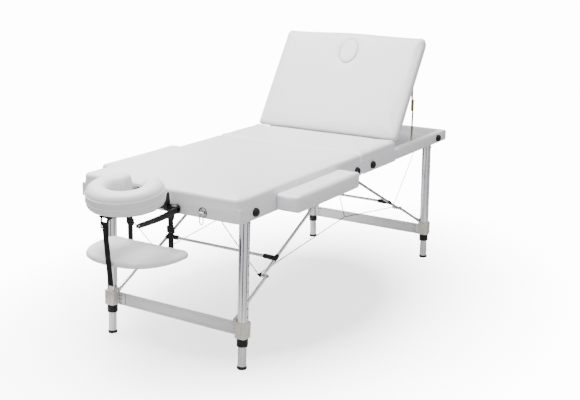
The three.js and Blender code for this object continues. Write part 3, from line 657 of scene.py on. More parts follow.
def make_foot_pad():
    """The middle cushion, whose cover runs down over the rails' sides, and the wrapped foot rails."""
    low = Vector((FOOT_LOW.x + GAP, -HALF_WIDTH - WRAP, UNDERSIDE - GAP))
    high = Vector((MID_HIGH.x, HALF_WIDTH + WRAP, TABLE_TOP - 1 * MM))
    piece = slab("mid_pad", low, high, TOP_EDGE, (FOLD_CORNER, FOLD_CORNER))
    swell(piece, SWELL_PRESSURE, SWELL_CAP, stapled)
    cavity = block(
        "cavity", (FOOT_LOW.x - CLEAR, -HALF_WIDTH - GAP, UNDERSIDE - CLEAR),
        (MID_HIGH.x + CLEAR, HALF_WIDTH + GAP, RAIL_TOP + GAP), 1 * MM, UPHOLSTERY)
    carve(piece, cavity)
    pad(smooth_shade(piece, 50), "foot_half", "mid_cushion")

    rails = block(
        "wrapped_rails", (FOOT_LOW.x + GAP, -HALF_WIDTH, UNDERSIDE),
        (FOOT_HIGH.x + WRAP, HALF_WIDTH, RAIL_TOP), 9 * MM, UPHOLSTERY, 4)
    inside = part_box("head_deck")[0].x - HEAD_LOW.x - 1 * MM
    well = block(
        "well", (FOOT_LOW.x + inside, -HALF_WIDTH + inside, UNDERSIDE - CLEAR),
        (FOOT_HIGH.x - inside, HALF_WIDTH - inside, RAIL_TOP + CLEAR), 3 * MM, UPHOLSTERY)
    carve(rails, well)
    pad(smooth_shade(rails, 50), "foot_half", "foot_frame")


def box_within(node, to_world):
    """A leaning node's lowest and highest corners in its own level frame."""
    to_level = to_world.inverted()
    places = [to_level @ v.co for v in frame["nodes"][node].data.vertices]
    low = Vector(min(p[i] for p in places) for i in range(3))
    high = Vector(max(p[i] for p in places) for i in range(3))
    return low, high


def ellipse_ring(centre, length, width, z):
    ring = []
    count = 48
    for i in range(count):
        angle = 2 * math.pi * i / count
        ring.append(Vector((
            centre.x + length / 2 * math.cos(angle), centre.y + width / 2 * math.sin(angle), z)))
    return ring


def make_backrest_pad():
    """The backrest cushion with its breath hole, and the plug that fills the hole."""
    low, high = box_within("backrest_cushion", BACKREST)
    plug_low, plug_high = box_within("breath_plug", BACKREST)
    centre = (plug_low + plug_high) / 2
    size = plug_high - plug_low
    piece = slab(
        "backrest_pad", low + Vector((0, 0, GAP)), high - Vector((0, 0, 1 * MM)), TOP_EDGE,
        (16 * MM, CORNER), cell=0.012, flat_bottom=False)
    ends = (low.z - CLEAR, high.z + CLEAR)
    carve(piece, loft(
        "hole", [ellipse_ring(centre, size.x + 1 * MM, size.y + 1 * MM, z) for z in ends], UPHOLSTERY))
    remesh(piece, 6.5 * MM)
    swell(piece, SWELL_PRESSURE, 5 * MM, lambda p: p.z < low.z + 6 * MM)
    soften(piece)
    piece.data.transform(BACKREST)
    pad(piece, "backrest", "backrest_cushion")

    top = high.z + 0.5 * MM
    lip = 5 * MM
    profile = (
        (plug_low.z, 6), (plug_low.z + lip, 1), (top - lip, 0), (top - lip * 0.35, 1.2),
        (top - 0.4 * MM, 3.6), (top, 7), (top + 0.8 * MM, 20), (top + 1 * MM, 44))
    rings = [
        ellipse_ring(centre, size.x - 2 * inset * MM, size.y - 2 * inset * MM, z) for z, inset in profile]
    plug = loft("breath_plug_pad", rings, UPHOLSTERY, smooth_angle=60)
    plug.data.transform(BACKREST)
    pad(plug, "breath_plug", "breath_plug")


def make_armrests():
    """Each armrest is a slim pad on two steel pegs that plug into the side rail."""
    for side_name, side in SIDES:
        body = f"armrest_{side_name}"
        low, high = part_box(body)
        near = HALF_WIDTH + 1 * MM
        far = abs(low.y if side < 0 else high.y) - 1 * MM
        y0, y1 = sorted((side * near, side * far))
        piece = slab(
            f"armrest_pad_{side_name}", (low.x + 2 * MM, y0, low.z + 1 * MM),
            (high.x - 2 * MM, y1, high.z - 2 * MM), 11 * MM, (15 * MM, 15 * MM), cell=0.010,
            flat_bottom=False)
        swell(piece, SWELL_PRESSURE, 3 * MM, lambda p, z=low.z: p.z < z + 12 * MM)
        soften(piece, 1)
        pad(piece, body, body)
        back = high.x - PEG_INSET
        for end_name, x in (("front", back - PEG_PITCH), ("back", back)):
            place = (x, side * near, PEG_Z)
            peg = lathe(
                f"armrest_peg_{side_name}_{end_name}", mm((-85, 4.4), (-83, 6), (20, 6), (20.5, 5.5)),
                place, (0, side, 0), STEEL, 24)
            fit(peg, body, "steel")
            grommet(f"peg_grommet_{side_name}_{end_name}", place, (0, side, 0), PEG_RADIUS)


def grommet(name, place, axis, hole):
    """A flat black ring round a peg hole."""
    profile = [
        (-1 * MM, hole + 0.4 * MM), (1.2 * MM, hole + 0.4 * MM), (1.8 * MM, hole + 1.4 * MM),
        (1.8 * MM, hole + 3.5 * MM), (1 * MM, hole + 5 * MM), (-1 * MM, hole + 5 * MM)]
    ring = lathe(name, profile, place, axis, BLACK, 32, closed=True)
    fit(ring, "head_half", "black_plastic")


# ---------- face cradle ----------

CRADLE_BAND = 43 * MM  # half the width of the horseshoe's band
CRADLE_MOUTH = math.radians(44)
CRADLE_NOSE = math.radians(22)  # how far each end rounds off
POST_Y = 98 * MM
POST_RADIUS = 6 * MM


def cradle_point(centre, radii, height, turn, around, end):
    """A point on the horseshoe: turn runs round the ring, around runs round the band's section."""
    c, s = math.cos(around), math.sin(around)
    power = 0.78 if s > 0 else 0.42
    across = math.copysign(abs(c) ** power, c) * CRADLE_BAND * end
    up = math.copysign(abs(s) ** power, s) * height * (0.55 + 0.45 * end)
    return Vector((
        centre.x + (radii[0] + across) * math.cos(turn),
        centre.y + (radii[1] + across) * math.sin(turn),
        centre.z + up))


def cradle_seam(name, tree, centre, z):
    """Piping laid on the horseshoe's outside at one height."""
    count = 96
    start = 0.3  # well outside the ring
    points = []
    for i in range(count + 1):
        turn = CRADLE_MOUTH + i / count * 2 * (math.pi - CRADLE_MOUTH)
        outside = Vector((centre.x + start * math.cos(turn), centre.y + start * math.sin(turn), z))
        aim = Vector((-math.cos(turn), -math.sin(turn), 0))
        points.append(tree.ray_cast(outside, aim)[0] - aim * 0.4 * MM)
    return tube(name, points, 1.6 * MM, PIPING, 10)


def make_cradle_pad():
    """The horseshoe, built level round the tilt axis and then leaned like the platform."""
    low, high = box_within("cradle_cushion", CRADLE)
    low.z -= 6.5 * MM
    centre = (low + high) / 2
    height = (high.z - low.z) / 2 - 1 * MM
    inset = CRADLE_BAND + 2 * MM
    radii = ((high.x - low.x) / 2 - inset, (high.y - low.y) / 2 - inset)
    first = CRADLE_MOUTH - CRADLE_NOSE
    steps, sides = 96, 36
    rings = []
    for i in range(steps + 1):
        turn = first + i / steps * 2 * (math.pi - first)
        from_end = min(turn - first, 2 * math.pi - first - turn)
        closing = min(1.0, from_end / CRADLE_NOSE)
        end = max(0.04, math.sqrt(max(0.0, 1 - (1 - closing) ** 2)))
        rings.append([
            cradle_point(centre, radii, height, turn, 2 * math.pi * j / sides, end) for j in range(sides)])
    piece = loft("cradle_pad", rings, UPHOLSTERY, smooth_angle=70)
    swell(piece, SWELL_PRESSURE * 0.8, SWELL_CAP, lambda p: p.z < low.z + 8 * MM)
    soften(piece, 2)
    tree = BVHTree.FromObject(piece, bpy.context.evaluated_depsgraph_get())
    seams = [
        cradle_seam(name, tree, centre, low.z + (high.z - low.z) * level)
        for level, name in ((0.36, "lower"), (0.66, "upper"))]
    piping = merge("cradle_piping", seams)
    piping.data.transform(CRADLE)
    fit(piping, "cradle_head", "upholstery")
    piece.data.transform(CRADLE)
    pad(piece, "cradle_head", "cradle_cushion")


def make_cradle_frame():
    """The tilt axle's round knuckles and the collars where the posts enter the head rail."""
    for side_name, side in SIDES:
        y = side * POST_Y
        knuckle = lathe(
            "knuckle", mm((-17, 9), (-17, 13), (-14.5, 16), (-5, 17), (-4, 15.5), (4, 15.5), (5, 17),
                          (14.5, 16), (17, 13), (17, 9)),
            (TILT.x, y, TILT.z), (0, 1, 0), BLACK)
        collar = lathe("collar", mm((-16, 8), (-15, 12), (-2.5, 12.5), (-2, 8)), (HEAD_LOW.x, y, TILT.z),
                       (1, 0, 0), BLACK, 32)
        fit(merge(f"cradle_clamp_{side_name}", [knuckle, collar]), "cradle_mount", "black_plastic")
        grommet(f"post_grommet_{side_name}", (HEAD_LOW.x - WRAP, y, TILT.z), (-1, 0, 0), POST_RADIUS)


def make_cradle_lever():
    """The clamp lever: a hub on the tilt axle and a flat arm that dips a little before its steel eye."""
    low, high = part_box("cradle_lever")
    hinge = joint_place("cradle_lever_swing")
    eye_inset = 9 * MM
    tip = Vector((low.x + eye_inset, (low.y + high.y) / 2, low.z + eye_inset))
    rings = []
    steps = 18
    edges = ((-3.2, -1, 1.5), (-2.2, -1, 0), (2.2, -1, 0), (3.2, -1, 1.5),
             (3.2, 1, 1.5), (2.2, 1, 0), (-2.2, 1, 0), (-3.2, 1, 1.5))
    for i in range(steps + 1):
        share = i / steps
        x = hinge.x + 6 * MM + share * (tip.x - hinge.x - 15 * MM)
        z = hinge.z - 2 * MM + share * (tip.z - hinge.z) - 5 * MM * math.sin(math.pi * share)
        half = (13 - 4 * share) * MM if i < steps else 5 * MM
        rings.append([
            Vector((x, tip.y + y * MM, z + way * (half - inset * MM))) for y, way, inset in edges])
    lever = merge("cradle_lever_arm", [
        loft("arm", rings, BLACK),
        lathe("hub", mm((-6, 9), (-6, 15), (-4, 17), (4, 17), (6, 15), (6, 9)), (hinge.x, tip.y, hinge.z),
              (0, 1, 0), BLACK, 36),
        lathe("eye", mm((-3.8, 2), (-3.8, 4), (-3.3, 4.4), (3.3, 4.4), (3.8, 4), (3.8, 2)), tip, (0, 1, 0),
              STEEL, 20)])
    fit(lever, "cradle_lever", "black_plastic", "cradle_lever")


# ---------- arm shelf and straps ----------

SHELF_CORNER = 40 * MM
SHELF_FULLNESS = 2.5  # 2 makes the shelf's front an ellipse, more makes it squarer


def half_moon(depth, half, back, z, corner):
    """The shelf's outline: a full curved front and a straight back with rounded corners."""
    turns, count = 8, 56
    power = 2 / SHELF_FULLNESS
    ring = []
    for i in range(turns):
        angle = math.pi / 2 * i / turns
        ring.append(Vector((
            back - corner + corner * math.cos(angle), half - corner + corner * math.sin(angle), z)))
    for i in range(count + 1):
        angle = math.pi * i / count
        across = math.cos(angle)
        ahead = abs(math.sin(angle)) ** power
        out = math.copysign(abs(across) ** power, across)
        ring.append(Vector((back - corner - (depth - corner) * ahead, half * out, z)))
    for i in range(turns):
        angle = math.pi / 2 * (3 + (i + 1) / turns)
        ring.append(Vector((
            back - corner + corner * math.cos(angle), corner - half + corner * math.sin(angle), z)))
    return ring


def make_shelf():
    low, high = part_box("arm_shelf")
    depth, half = high.x - low.x, (high.y - low.y) / 2
    rings = []
    for z, inset in ((low.z, 7 * MM), (low.z + 3 * MM, 2 * MM), (low.z + 10 * MM, 0.5 * MM),
                     (high.z - 10 * MM, 0.5 * MM), (high.z - 4 * MM, 2.5 * MM), (high.z - 1 * MM, 8 * MM)):
        rings.append(half_moon(depth - 2 * inset, half - inset, high.x - inset, z, SHELF_CORNER - inset))
    piece = loft("arm_shelf_pad", rings, UPHOLSTERY)
    remesh(piece, 5 * MM, 3)
    swell(piece, SWELL_PRESSURE * 0.7, 3 * MM, lambda p: p.z < low.z + 5 * MM)
    soften(piece, 2)
    pad(piece, "arm_shelf", "arm_shelf")


def strap_mesh(name, points):
    """Flat webbing along straight runs, with slightly thicker woven edges."""
    middle = polyline(points)
    across = Vector((0, 1, 0))
    half = ((-0.49, 0.42), (-0.42, 0.5), (-0.2, 0.4), (0.2, 0.4), (0.42, 0.5), (0.49, 0.42))
    profile = [(-0.5, 0), *half, (0.5, 0), *((-side, -off) for side, off in half)]
    rings = []
    for i, point in enumerate(middle):
        ahead = (middle[min(i + 1, len(middle) - 1)] - middle[max(i - 1, 0)]).normalized()
        face = ahead.cross(across).normalized()
        rings.append([
            point + across * side * STRAP_WIDTH + face * off * STRAP_THICKNESS for side, off in profile])
    return loft(name, rings, WEBBING, smooth_angle=50)


def polyline(points):
    """Points at even steps along straight runs."""
    step = 8 * MM
    made = [Vector(points[0])]
    for start, end in zip(points, points[1:]):
        start, end = Vector(start), Vector(end)
        count = max(1, round((end - start).length / step))
        made += [start.lerp(end, (i + 1) / count) for i in range(count)]
    return made


STRAP_WIDTH = 25 * MM
STRAP_THICKNESS = 1.9 * MM


def slider(name, place, body):
    """A black three-bar buckle round a strap."""
    x, y, z = place
    half = STRAP_WIDTH / 2 + 3.5 * MM
    bars = []
    for up in (-11 * MM, 0, 11 * MM):
        bars.append(tube("bar", [(x, y - half, z + up), (x, y + half, z + up)], 2.4 * MM, BLACK))
    for across in (-half, half):
        ends = [(x, y + across, z - 12.5 * MM), (x, y + across, z + 12.5 * MM)]
        bars.append(tube("bar", ends, 2.6 * MM, BLACK))
    fit(merge(name, bars), body, "black_plastic")


HOLDER_HALF = 14.5 * MM
SLIDER_DROP = 60 * MM


def make_straps():
    """The two straps from the cradle's mount to the shelf, and the slanting one at the front."""
    shelf_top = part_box("arm_shelf")[1].z
    for side_name, _ in SIDES:
        low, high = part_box(f"shelf_strap_{side_name}")
        x, y, top = (low.x + high.x) / 2, (low.y + high.y) / 2, high.z
        strap = strap_mesh(
            f"strap_{side_name}",
            [(x + 6 * MM, y, TILT.z - 6 * MM), (x, y, top - 12 * MM), (x, y, shelf_top - 9 * MM)])
        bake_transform(strap)
        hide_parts(f"shelf_strap_{side_name}")
        slider(f"strap_slider_{side_name}", (x, y, top - SLIDER_DROP), "cradle_mount")
        holder = block(
            f"strap_holder_{side_name}", (x - 4 * MM, y - HOLDER_HALF, top - 20 * MM),
            (x + 7 * MM, y + HOLDER_HALF, top + 8 * MM), 2.5 * MM, BLACK)
        fit(holder, "cradle_mount", "black_plastic")

    low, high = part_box("shelf_strap_front")
    x = (low.x + high.x) / 2
    top = Vector((x, 0, high.z - 20 * MM))
    tail = Vector((x - 3 * MM, -24 * MM, low.z))
    middle = top.lerp(tail, (top.z - shelf_top - 26 * MM) / (top.z - tail.z))
    upper = strap_mesh("strap_front_upper", [top, middle])
    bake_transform(upper)
    lower = strap_mesh("strap_front_lower", [middle, tail])
    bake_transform(lower)
    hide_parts("shelf_strap_front")
    slider("strap_slider_front", top - Vector((0, 0, 12 * MM)), "cradle_head")


def make_strap_hanger():
    """The moulded loop under the cradle that the front strap hangs from."""
    low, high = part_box("shelf_strap_front")
    x = (low.x + high.x) / 2
    top = high.z - 2 * MM
    parts = []
    for side in (-1, 1):
        wing = mm((12, side * 24, 0), (4, side * 17, -7), (0, side * 14, -15), (0, side * 14, -24))
        parts.append(tube("wing", [Vector((x, 0, top)) + Vector(p) for p in wing], 3.6 * MM, BLACK))
    rod = [(x, y * MM, top - 22 * MM) for y in (-15, 15)]
    parts.append(tube("rod", rod, 3.4 * MM, BLACK))
    parts.append(block("plate", (x + 2 * MM, -28 * MM, top - 4 * MM), (x + 34 * MM, 28 * MM, top + 1 * MM),
                       1.8 * MM, BLACK))
    fit(merge("strap_hanger", parts), "cradle_head", "black_plastic")


# ---------- legs ----------

def fluted_ring(z):
    """The leg tube's section: a convex lobe on each face and a rounded groove at each corner."""
    ring = []
    count = 96
    for i in range(count):
        angle = 2 * math.pi * i / count
        dip = abs(math.sin(2 * angle)) ** 10
        square = 1 / max(abs(math.cos(angle)), abs(math.sin(angle))) - 1
        radius = TUBE_REACH * (1 + 0.22 * square) - TUBE_GROOVE * dip
        ring.append(Vector((radius * math.cos(angle), radius * math.sin(angle), z)))
    return ring


def leg_matrix(end_name, side):
    """Puts a leg's own frame, with Z up the tube and its origin at the fold axle, into the row frame."""
    place = joint_place(f"{end_name}_leg_fold")
    up = Vector(JOINTS[f"{end_name}_leg_height_{side}"]["axis"])
    tilt = Matrix.Rotation(math.atan2(up.x, up.z), 4, "Y")
    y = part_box(f"{end_name}_inner_leg_{side}")
    return Matrix.Translation((place.x, (y[0].y + y[1].y) / 2, place.z)) @ tilt


HOLE_PITCH = 34 * MM
HOLE_COUNT = 9
TOP_HOLE = -97 * MM
TUBE_REACH = 21 * MM
TUBE_GROOVE = 2.2 * MM
TUBE_BORE = 18 * MM
INNER_RADIUS = 17 * MM
BRACKET_TOP = -391 * MM
BRACKET_BOTTOM = -455 * MM
COLLAR_BOTTOM = -488 * MM
FOOT_HEIGHT = 12 * MM
STRUT_FOOT = -388 * MM  # the lower strut's pin on the bracket


def leg_holes(side):
    """Drills for the row of height holes, at the spring button's pitch."""
    return [
        lathe("hole", mm((0, 3.7), (20, 3.7)), (0, side * 10 * MM, TOP_HOLE - i * HOLE_PITCH), (0, side, 0),
              ALUMINIUM, 20)
        for i in range(HOLE_COUNT)]


def fit_leg(piece, to_world, body, slot, *replaced):
    """Fits a piece that was made in the leg's own frame."""
    piece.data.transform(to_world)
    fit(piece, body, slot, *replaced)


def make_outer_leg(end_name, side_name, side):
    to_world = leg_matrix(end_name, side_name)
    legs = f"{end_name}_legs"
    top, bottom = 8 * MM, BRACKET_BOTTOM + 6 * MM
    leg = loft(
        f"{end_name}_leg_tube_{side_name}", [fluted_ring(bottom), fluted_ring(top)], ALUMINIUM,
        smooth_angle=25)
    bore = lathe("bore", [(bottom - 5 * MM, TUBE_BORE), (top + 5 * MM, TUBE_BORE)], (0, 0, 0), (0, 0, 1),
                 ALUMINIUM, 48)
    carve(leg, bore, *leg_holes(side))
    smooth_shade(leg, 25)
    fit_leg(leg, to_world, legs, "aluminium", f"{end_name}_outer_leg_{side_name}")

    cap = block(
        f"{end_name}_leg_cap_{side_name}", (-19 * MM, -19 * MM, top), (19 * MM, 19 * MM, top + 2.5 * MM),
        1 * MM, BLACK)
    fit_leg(cap, to_world, legs, "black_plastic")

    button_name = f"{end_name}_button_{side_name}"
    button = lathe(
        f"{end_name}_spring_button_{side_name}",
        [(TUBE_BORE + GAP, 3.3 * MM), (TUBE_REACH + 1.4 * MM, 3.3 * MM),
         (TUBE_REACH + 3 * MM, 2.5 * MM), (TUBE_REACH + 3.6 * MM, 1 * MM)],
        (0, 0, TOP_HOLE - HOLE_PITCH), (0, side, 0), STEEL, 24, 60)
    fit_leg(button, to_world, button_name, "button", button_name)


def make_inner_leg(end_name, side_name, side):
    """The bright telescoping tube, drilled like the outer one, and its black rubber foot."""
    to_world = leg_matrix(end_name, side_name)
    slider_body = f"{end_name}_leg_slider_{side_name}"
    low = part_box(f"{end_name}_inner_leg_{side_name}")[0].z
    floor = low - joint_place(f"{end_name}_leg_fold").z
    tube_low, tube_high = floor + FOOT_HEIGHT - 6 * MM, -50 * MM
    bore = INNER_RADIUS - 2 * MM
    inner = lathe(
        f"{end_name}_inner_tube_{side_name}",
        [(tube_low, bore), (tube_low, INNER_RADIUS), (tube_high, INNER_RADIUS), (tube_high, bore)],
        (0, 0, 0), (0, 0, 1), ALUMINIUM, 48, 30, closed=True)
    carve(inner, *leg_holes(side))
    smooth_shade(inner, 30)
    fit_leg(inner, to_world, slider_body, "aluminium", f"{end_name}_inner_leg_{side_name}")

    # A black sleeve inside the tube behind the holes is painted shade: it stands in for the dark inside of
    # the holes, so that they don't show the tube's bright far wall.
    hole_shade_top, hole_shade_inside, hole_shade_outside = TOP_HOLE + 20 * MM, 13.4 * MM, 14.6 * MM
    hole_shade = lathe(
        f"{end_name}_painted_hole_shade_{side_name}",
        [(hole_shade_top, hole_shade_inside), (hole_shade_top, hole_shade_outside),
         (BRACKET_BOTTOM, hole_shade_outside), (BRACKET_BOTTOM, hole_shade_inside)],
        (0, 0, 0), (0, 0, 1), BLACK, 40, 30, closed=True)
    fit_leg(hole_shade, to_world, slider_body, "black_plastic")

    # The sole is level while the leg leans, so the two lowest rings are laid level on the floor.
    sides = 40
    rings = []
    for height, radius, level in ((0, 17.5, 0.0), (1.5, 19.6, 1.5), (4, 20, None), (8, 19.6, None),
                                  (10.6, 18.6, None), (FOOT_HEIGHT / MM, 17.3, None)):
        ring = []
        for i in range(sides):
            angle = 2 * math.pi * i / sides
            point = to_world @ Vector((
                radius * MM * math.cos(angle), radius * MM * math.sin(angle), floor + height * MM))
            if level is not None:
                point.z = low + level * MM
            ring.append(point)
        rings.append(ring)
    foot = loft(f"{end_name}_rubber_foot_{side_name}", rings, RUBBER)
    fit(foot, slider_body, "black_plastic")


def rounded_square(half_x, half_y, radius, z):
    ring = []
    count = 12
    for quarter, (sx, sy) in enumerate(((1, 1), (-1, 1), (-1, -1), (1, -1))):
        for i in range(count):
            angle = math.pi / 2 * (quarter + i / (count - 1))
            ring.append(Vector((
                sx * (half_x - radius) + radius * math.cos(angle),
                sy * (half_y - radius) + radius * math.sin(angle), z)))
    return ring


BRACKET_HALF_X, BRACKET_HALF_Y = 25.5 * MM, 24.5 * MM
BRACKET_CORNER = 10 * MM
BRACKET_SEAT = 17.6 * MM
GROOVE_Y = 8.5 * MM
FLANGE_X = 9.7 * MM
FLANGE_HEIGHT = 46 * MM
CROSSBAR_FACE = 16.2 * MM


def make_bracket(end_name, end, side_name, side):
    """The cast bracket that clamps the leg, with its boss, and the flange riveted to it."""
    inward = -side
    bevel = mm((0, 2.5), (1, 0.8), (3, 0))
    stations = [(BRACKET_BOTTOM + up, inset) for up, inset in bevel]
    stations += [(BRACKET_TOP - down, inset) for down, inset in reversed(bevel)]
    body = loft("body", [
        rounded_square(BRACKET_HALF_X - inset, BRACKET_HALF_Y - inset, BRACKET_CORNER, z)
        for z, inset in stations], CAST, smooth_angle=50)
    below, above = BRACKET_BOTTOM - 5 * MM, BRACKET_TOP + 5 * MM
    deep, wide = 1.4 * MM, 1.2 * MM
    grooves = [
        block("groove", (x - deep, y - wide, below), (x + deep, y + wide, above), 0.8 * MM, CAST)
        for y in (-GROOVE_Y, GROOVE_Y) for x in (-BRACKET_HALF_X, BRACKET_HALF_X)]
    seat = lathe("seat", [(below, BRACKET_SEAT), (above, BRACKET_SEAT)], (0, 0, 0), (0, 0, 1), CAST, 48)
    carve(body, *grooves, seat)
    flange_x = -end * FLANGE_X
    flange_low = BRACKET_BOTTOM + 3 * MM
    y0, y1 = sorted((inward * 22 * MM, inward * 58 * MM))
    flange = block("flange", (flange_x - 2 * MM, y0, flange_low),
                   (flange_x + 2 * MM, y1, flange_low + FLANGE_HEIGHT), 1.2 * MM, SHEET_METAL)
    boss = lathe("boss", mm((0, 10.5), (5.5, 9.6), (6, 8.6)),
                 (0, inward * 23 * MM, STRUT_FOOT), (0, inward, 0), CAST, 32)
    parts = [body, flange, boss]
    for row in range(3):
        z = BRACKET_BOTTOM + (11 + 15 * row) * MM
        parts += [rivet((-end * CROSSBAR_FACE, inward * y * MM, z), (-end, 0, 0)) for y in (41, 52)]
        parts += [rivet((flange_x + end * 2 * MM, inward * y * MM, z), (end, 0, 0)) for y in (33, 43)]
    bracket = merge(f"{end_name}_cast_bracket_{side_name}", parts)
    fit_leg(bracket, leg_matrix(end_name, side_name), f"{end_name}_legs", "alloy_bracket",
            f"{end_name}_leg_bracket_{side_name}")


COLLAR_RADIUS = 22 * MM
COLLAR_BORE = 17.5 * MM
COLLAR_RIBS = 3


def make_collar(end_name, side_name):
    """The ribbed black collar that the inner leg slides through, under the bracket."""
    profile = [(COLLAR_BOTTOM, COLLAR_BORE), (COLLAR_BOTTOM, 20.5 * MM),
               (COLLAR_BOTTOM + 1.5 * MM, COLLAR_RADIUS)]
    start, stop = COLLAR_BOTTOM + 4 * MM, BRACKET_BOTTOM - 6 * MM
    valley = COLLAR_RADIUS - 0.9 * MM
    for i in range(COLLAR_RIBS):
        z = start + (stop - start) * (i + 0.5) / COLLAR_RIBS
        profile += [(z - 1.6 * MM, COLLAR_RADIUS), (z - 1.1 * MM, valley), (z + 1.1 * MM, valley),
                    (z + 1.6 * MM, COLLAR_RADIUS)]
    profile += [(BRACKET_BOTTOM - 2 * MM, 22.4 * MM), (BRACKET_BOTTOM, 21.5 * MM),
                (BRACKET_BOTTOM, COLLAR_BORE)]
    collar = lathe(
        f"{end_name}_collar_{side_name}", profile, (0, 0, 0), (0, 0, 1), BLACK, 48, closed=True)
    fit_leg(collar, leg_matrix(end_name, side_name), f"{end_name}_legs", "black_plastic")


def rivet(place, axis, radius=2.8 * MM, material=DARK_STEEL):
    """A domed rivet head standing on a face."""
    profile = [(-0.6 * MM, radius), (0.2 * MM, radius), (0.9 * MM, radius * 0.85), (1.4 * MM, radius * 0.5),
               (1.55 * MM, radius * 0.15)]
    return lathe("rivet", profile, place, axis, material, 18, 60)


def make_crossbar(end_name, end):
    """The flat crossbar, with a shallow groove pressed into both faces near each edge."""
    low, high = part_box(f"{end_name}_leg_crossbar")
    to_world = leg_matrix(end_name, "right")
    half = (high.y - low.y) / 2
    to_world.translation.y = 0
    near, far = sorted((-end * 12 * MM, -end * 16 * MM))
    z0, z1 = BRACKET_BOTTOM - 1 * MM, BRACKET_BOTTOM + 53 * MM
    groove = mm((0, 7), (0.7, 8.5), (0.7, 12), (0, 13.5))
    side = [(depth, z0 + up) for depth, up in groove]
    side += [(depth, z1 - up) for depth, up in reversed(groove)]
    outline = [(near, z0), (far, z0), *((far - depth, z) for depth, z in side),
               (far, z1), (near, z1), *((near + depth, z) for depth, z in reversed(side))]
    rings = [[to_world @ Vector((x, y, z)) for x, z in outline] for y in (-half, half)]
    bar = loft(f"{end_name}_flat_crossbar", rings, SHEET_METAL, smooth_angle=20)
    fit(bar, f"{end_name}_legs", "aluminium", f"{end_name}_leg_crossbar")


# ---------- folding struts ----------

def strut_tube(name, start, end, y, body, replaced):
    """A round tube whose ends are pressed flat round their pins."""
    aside = Vector((0, 1, 0))
    along = (end - start).normalized()
    up = aside.cross(along).normalized()
    length = (end - start).length
    radius = 6.5 * MM
    pressed = mm((-8, 5, 2.4), (-6.5, 7.5, 2.6), (0, 9, 2.7), (8, 9, 2.8), (20, 7.2, 5.4), (30, 6.5, 6.5))
    run = [*pressed, *((length * i / 6, radius, radius) for i in range(1, 6)),
           *((length - where, high, wide) for where, high, wide in reversed(pressed))]
    sides = 20
    rings = []
    for where, high, wide in run:
        centre = start + along * where + aside * y
        ring = []
        for i in range(sides):
            angle = 2 * math.pi * i / sides
            ring.append(centre + up * math.cos(angle) * high + aside * math.sin(angle) * wide)
        rings.append(ring)
    fit(loft(name, rings, STRUT_METAL, smooth_angle=50), body, "aluminium", replaced)


def middle_y(node):
    low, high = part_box(node)
    return (low.y + high.y) / 2


def make_struts(end_name):
    """Both sides' folding struts with their pins, and the round bar that joins the upper struts."""
    top = joint_place(f"{end_name}_upper_strut")
    knee = joint_place(f"{end_name}_lower_strut")
    down = -Vector(JOINTS[f"{end_name}_leg_height_right"]["axis"])
    foot = joint_place(f"{end_name}_leg_fold") - down * STRUT_FOOT
    along = (knee - top).normalized()
    uppers, lowers = f"{end_name}_upper_struts", f"{end_name}_lower_struts"
    bar_low, bar_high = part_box(f"{end_name}_strut_crossbar")
    centre = (bar_low + bar_high) / 2
    reach = (bar_high.y - bar_low.y) / 2
    bar_end = Vector((0, reach - 4 * MM, 0))
    parts = [tube("bar", [centre - bar_end, centre + bar_end], 6.4 * MM, STRUT_METAL, 24)]
    for side_name, side in SIDES:
        upper, lower = f"{end_name}_upper_strut_{side_name}", f"{end_name}_lower_strut_{side_name}"
        upper_y, lower_y = middle_y(upper), middle_y(lower)
        strut_tube(f"{end_name}_strut_top_{side_name}", top, knee, upper_y, uppers, upper)
        strut_tube(f"{end_name}_strut_low_{side_name}", knee, foot, lower_y, lowers, lower)
        outward = (0, side, 0)
        inward = (0, -side, 0)
        knob_place = (knee.x, upper_y - side * 9 * MM, knee.z)
        nut_place = (knee.x, lower_y + side * 9 * MM, knee.z)
        pin_length = abs(nut_place[1] - knob_place[1])
        hardware = merge(f"{end_name}_knee_pin_{side_name}", [
            lathe("pin", [(0, 3.2 * MM), (pin_length, 3.2 * MM)], knob_place, outward, STEEL, 20),
            lathe("knob", mm((0, 6), (1, 8.4), (6, 8.6), (8.5, 7), (9.2, 4)), knob_place, inward, BLACK, 30),
            lathe("nut", mm((-5, 5.6), (-0.4, 5.6), (0, 5)), nut_place, outward, STEEL, 6, 20),
            lathe("washer", mm((-8, 7.6), (-6.6, 7.6)), (knee.x, lower_y, knee.z), outward, STEEL, 28, 20)])
        fit(hardware, uppers, "steel")
        low_pin = lathe(
            f"{end_name}_bracket_pin_{side_name}", mm((0, 3.2), (6, 3.2), (6.2, 5.6), (9, 5.2)),
            (foot.x, lower_y + side * 3 * MM, foot.z), inward, STEEL, 24)
        fit(low_pin, f"{end_name}_legs", "steel")
        parts.append(lathe(
            "sleeve", mm((0, 6.6), (0, 8.8), (2, 10), (40, 10.4), (44, 9), (50, 9)),
            (centre.x, side * (reach - 50 * MM), centre.z), outward, BLACK, 30))
        parts.append(lathe(
            "hub", mm((-17, 7.4), (-16, 8.6), (-6, 9.2), (6, 9.2), (16, 8.6), (17, 7.4)),
            (centre.x, upper_y, centre.z), along, BLACK, 30))
    fit(merge(f"{end_name}_brace_bar", parts), uppers, "aluminium", f"{end_name}_strut_crossbar")


# ---------- brace cables ----------

CABLE_RADIUS = 1.9 * MM
CABLE_DIP = Vector((FOLD_X + 95 * MM, 0, 372 * MM))
CABLE_SAG = 2.5 * MM


def cable_piece(name, start, end, bodies, sag=0.0):
    """One run of cable, left unattached where it spans two bodies, or riding on one."""
    count = 24
    points = []
    for i in range(count + 1):
        share = i / count
        point = start.lerp(end, share)
        point.z -= sag * 4 * share * (1 - share)
        points.append(point)
    piece = tube(name, points, CABLE_RADIUS, CABLE, 10)
    if len(bodies) == 2:
        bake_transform(piece)
    else:
        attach(piece, bodies[0])
    return piece


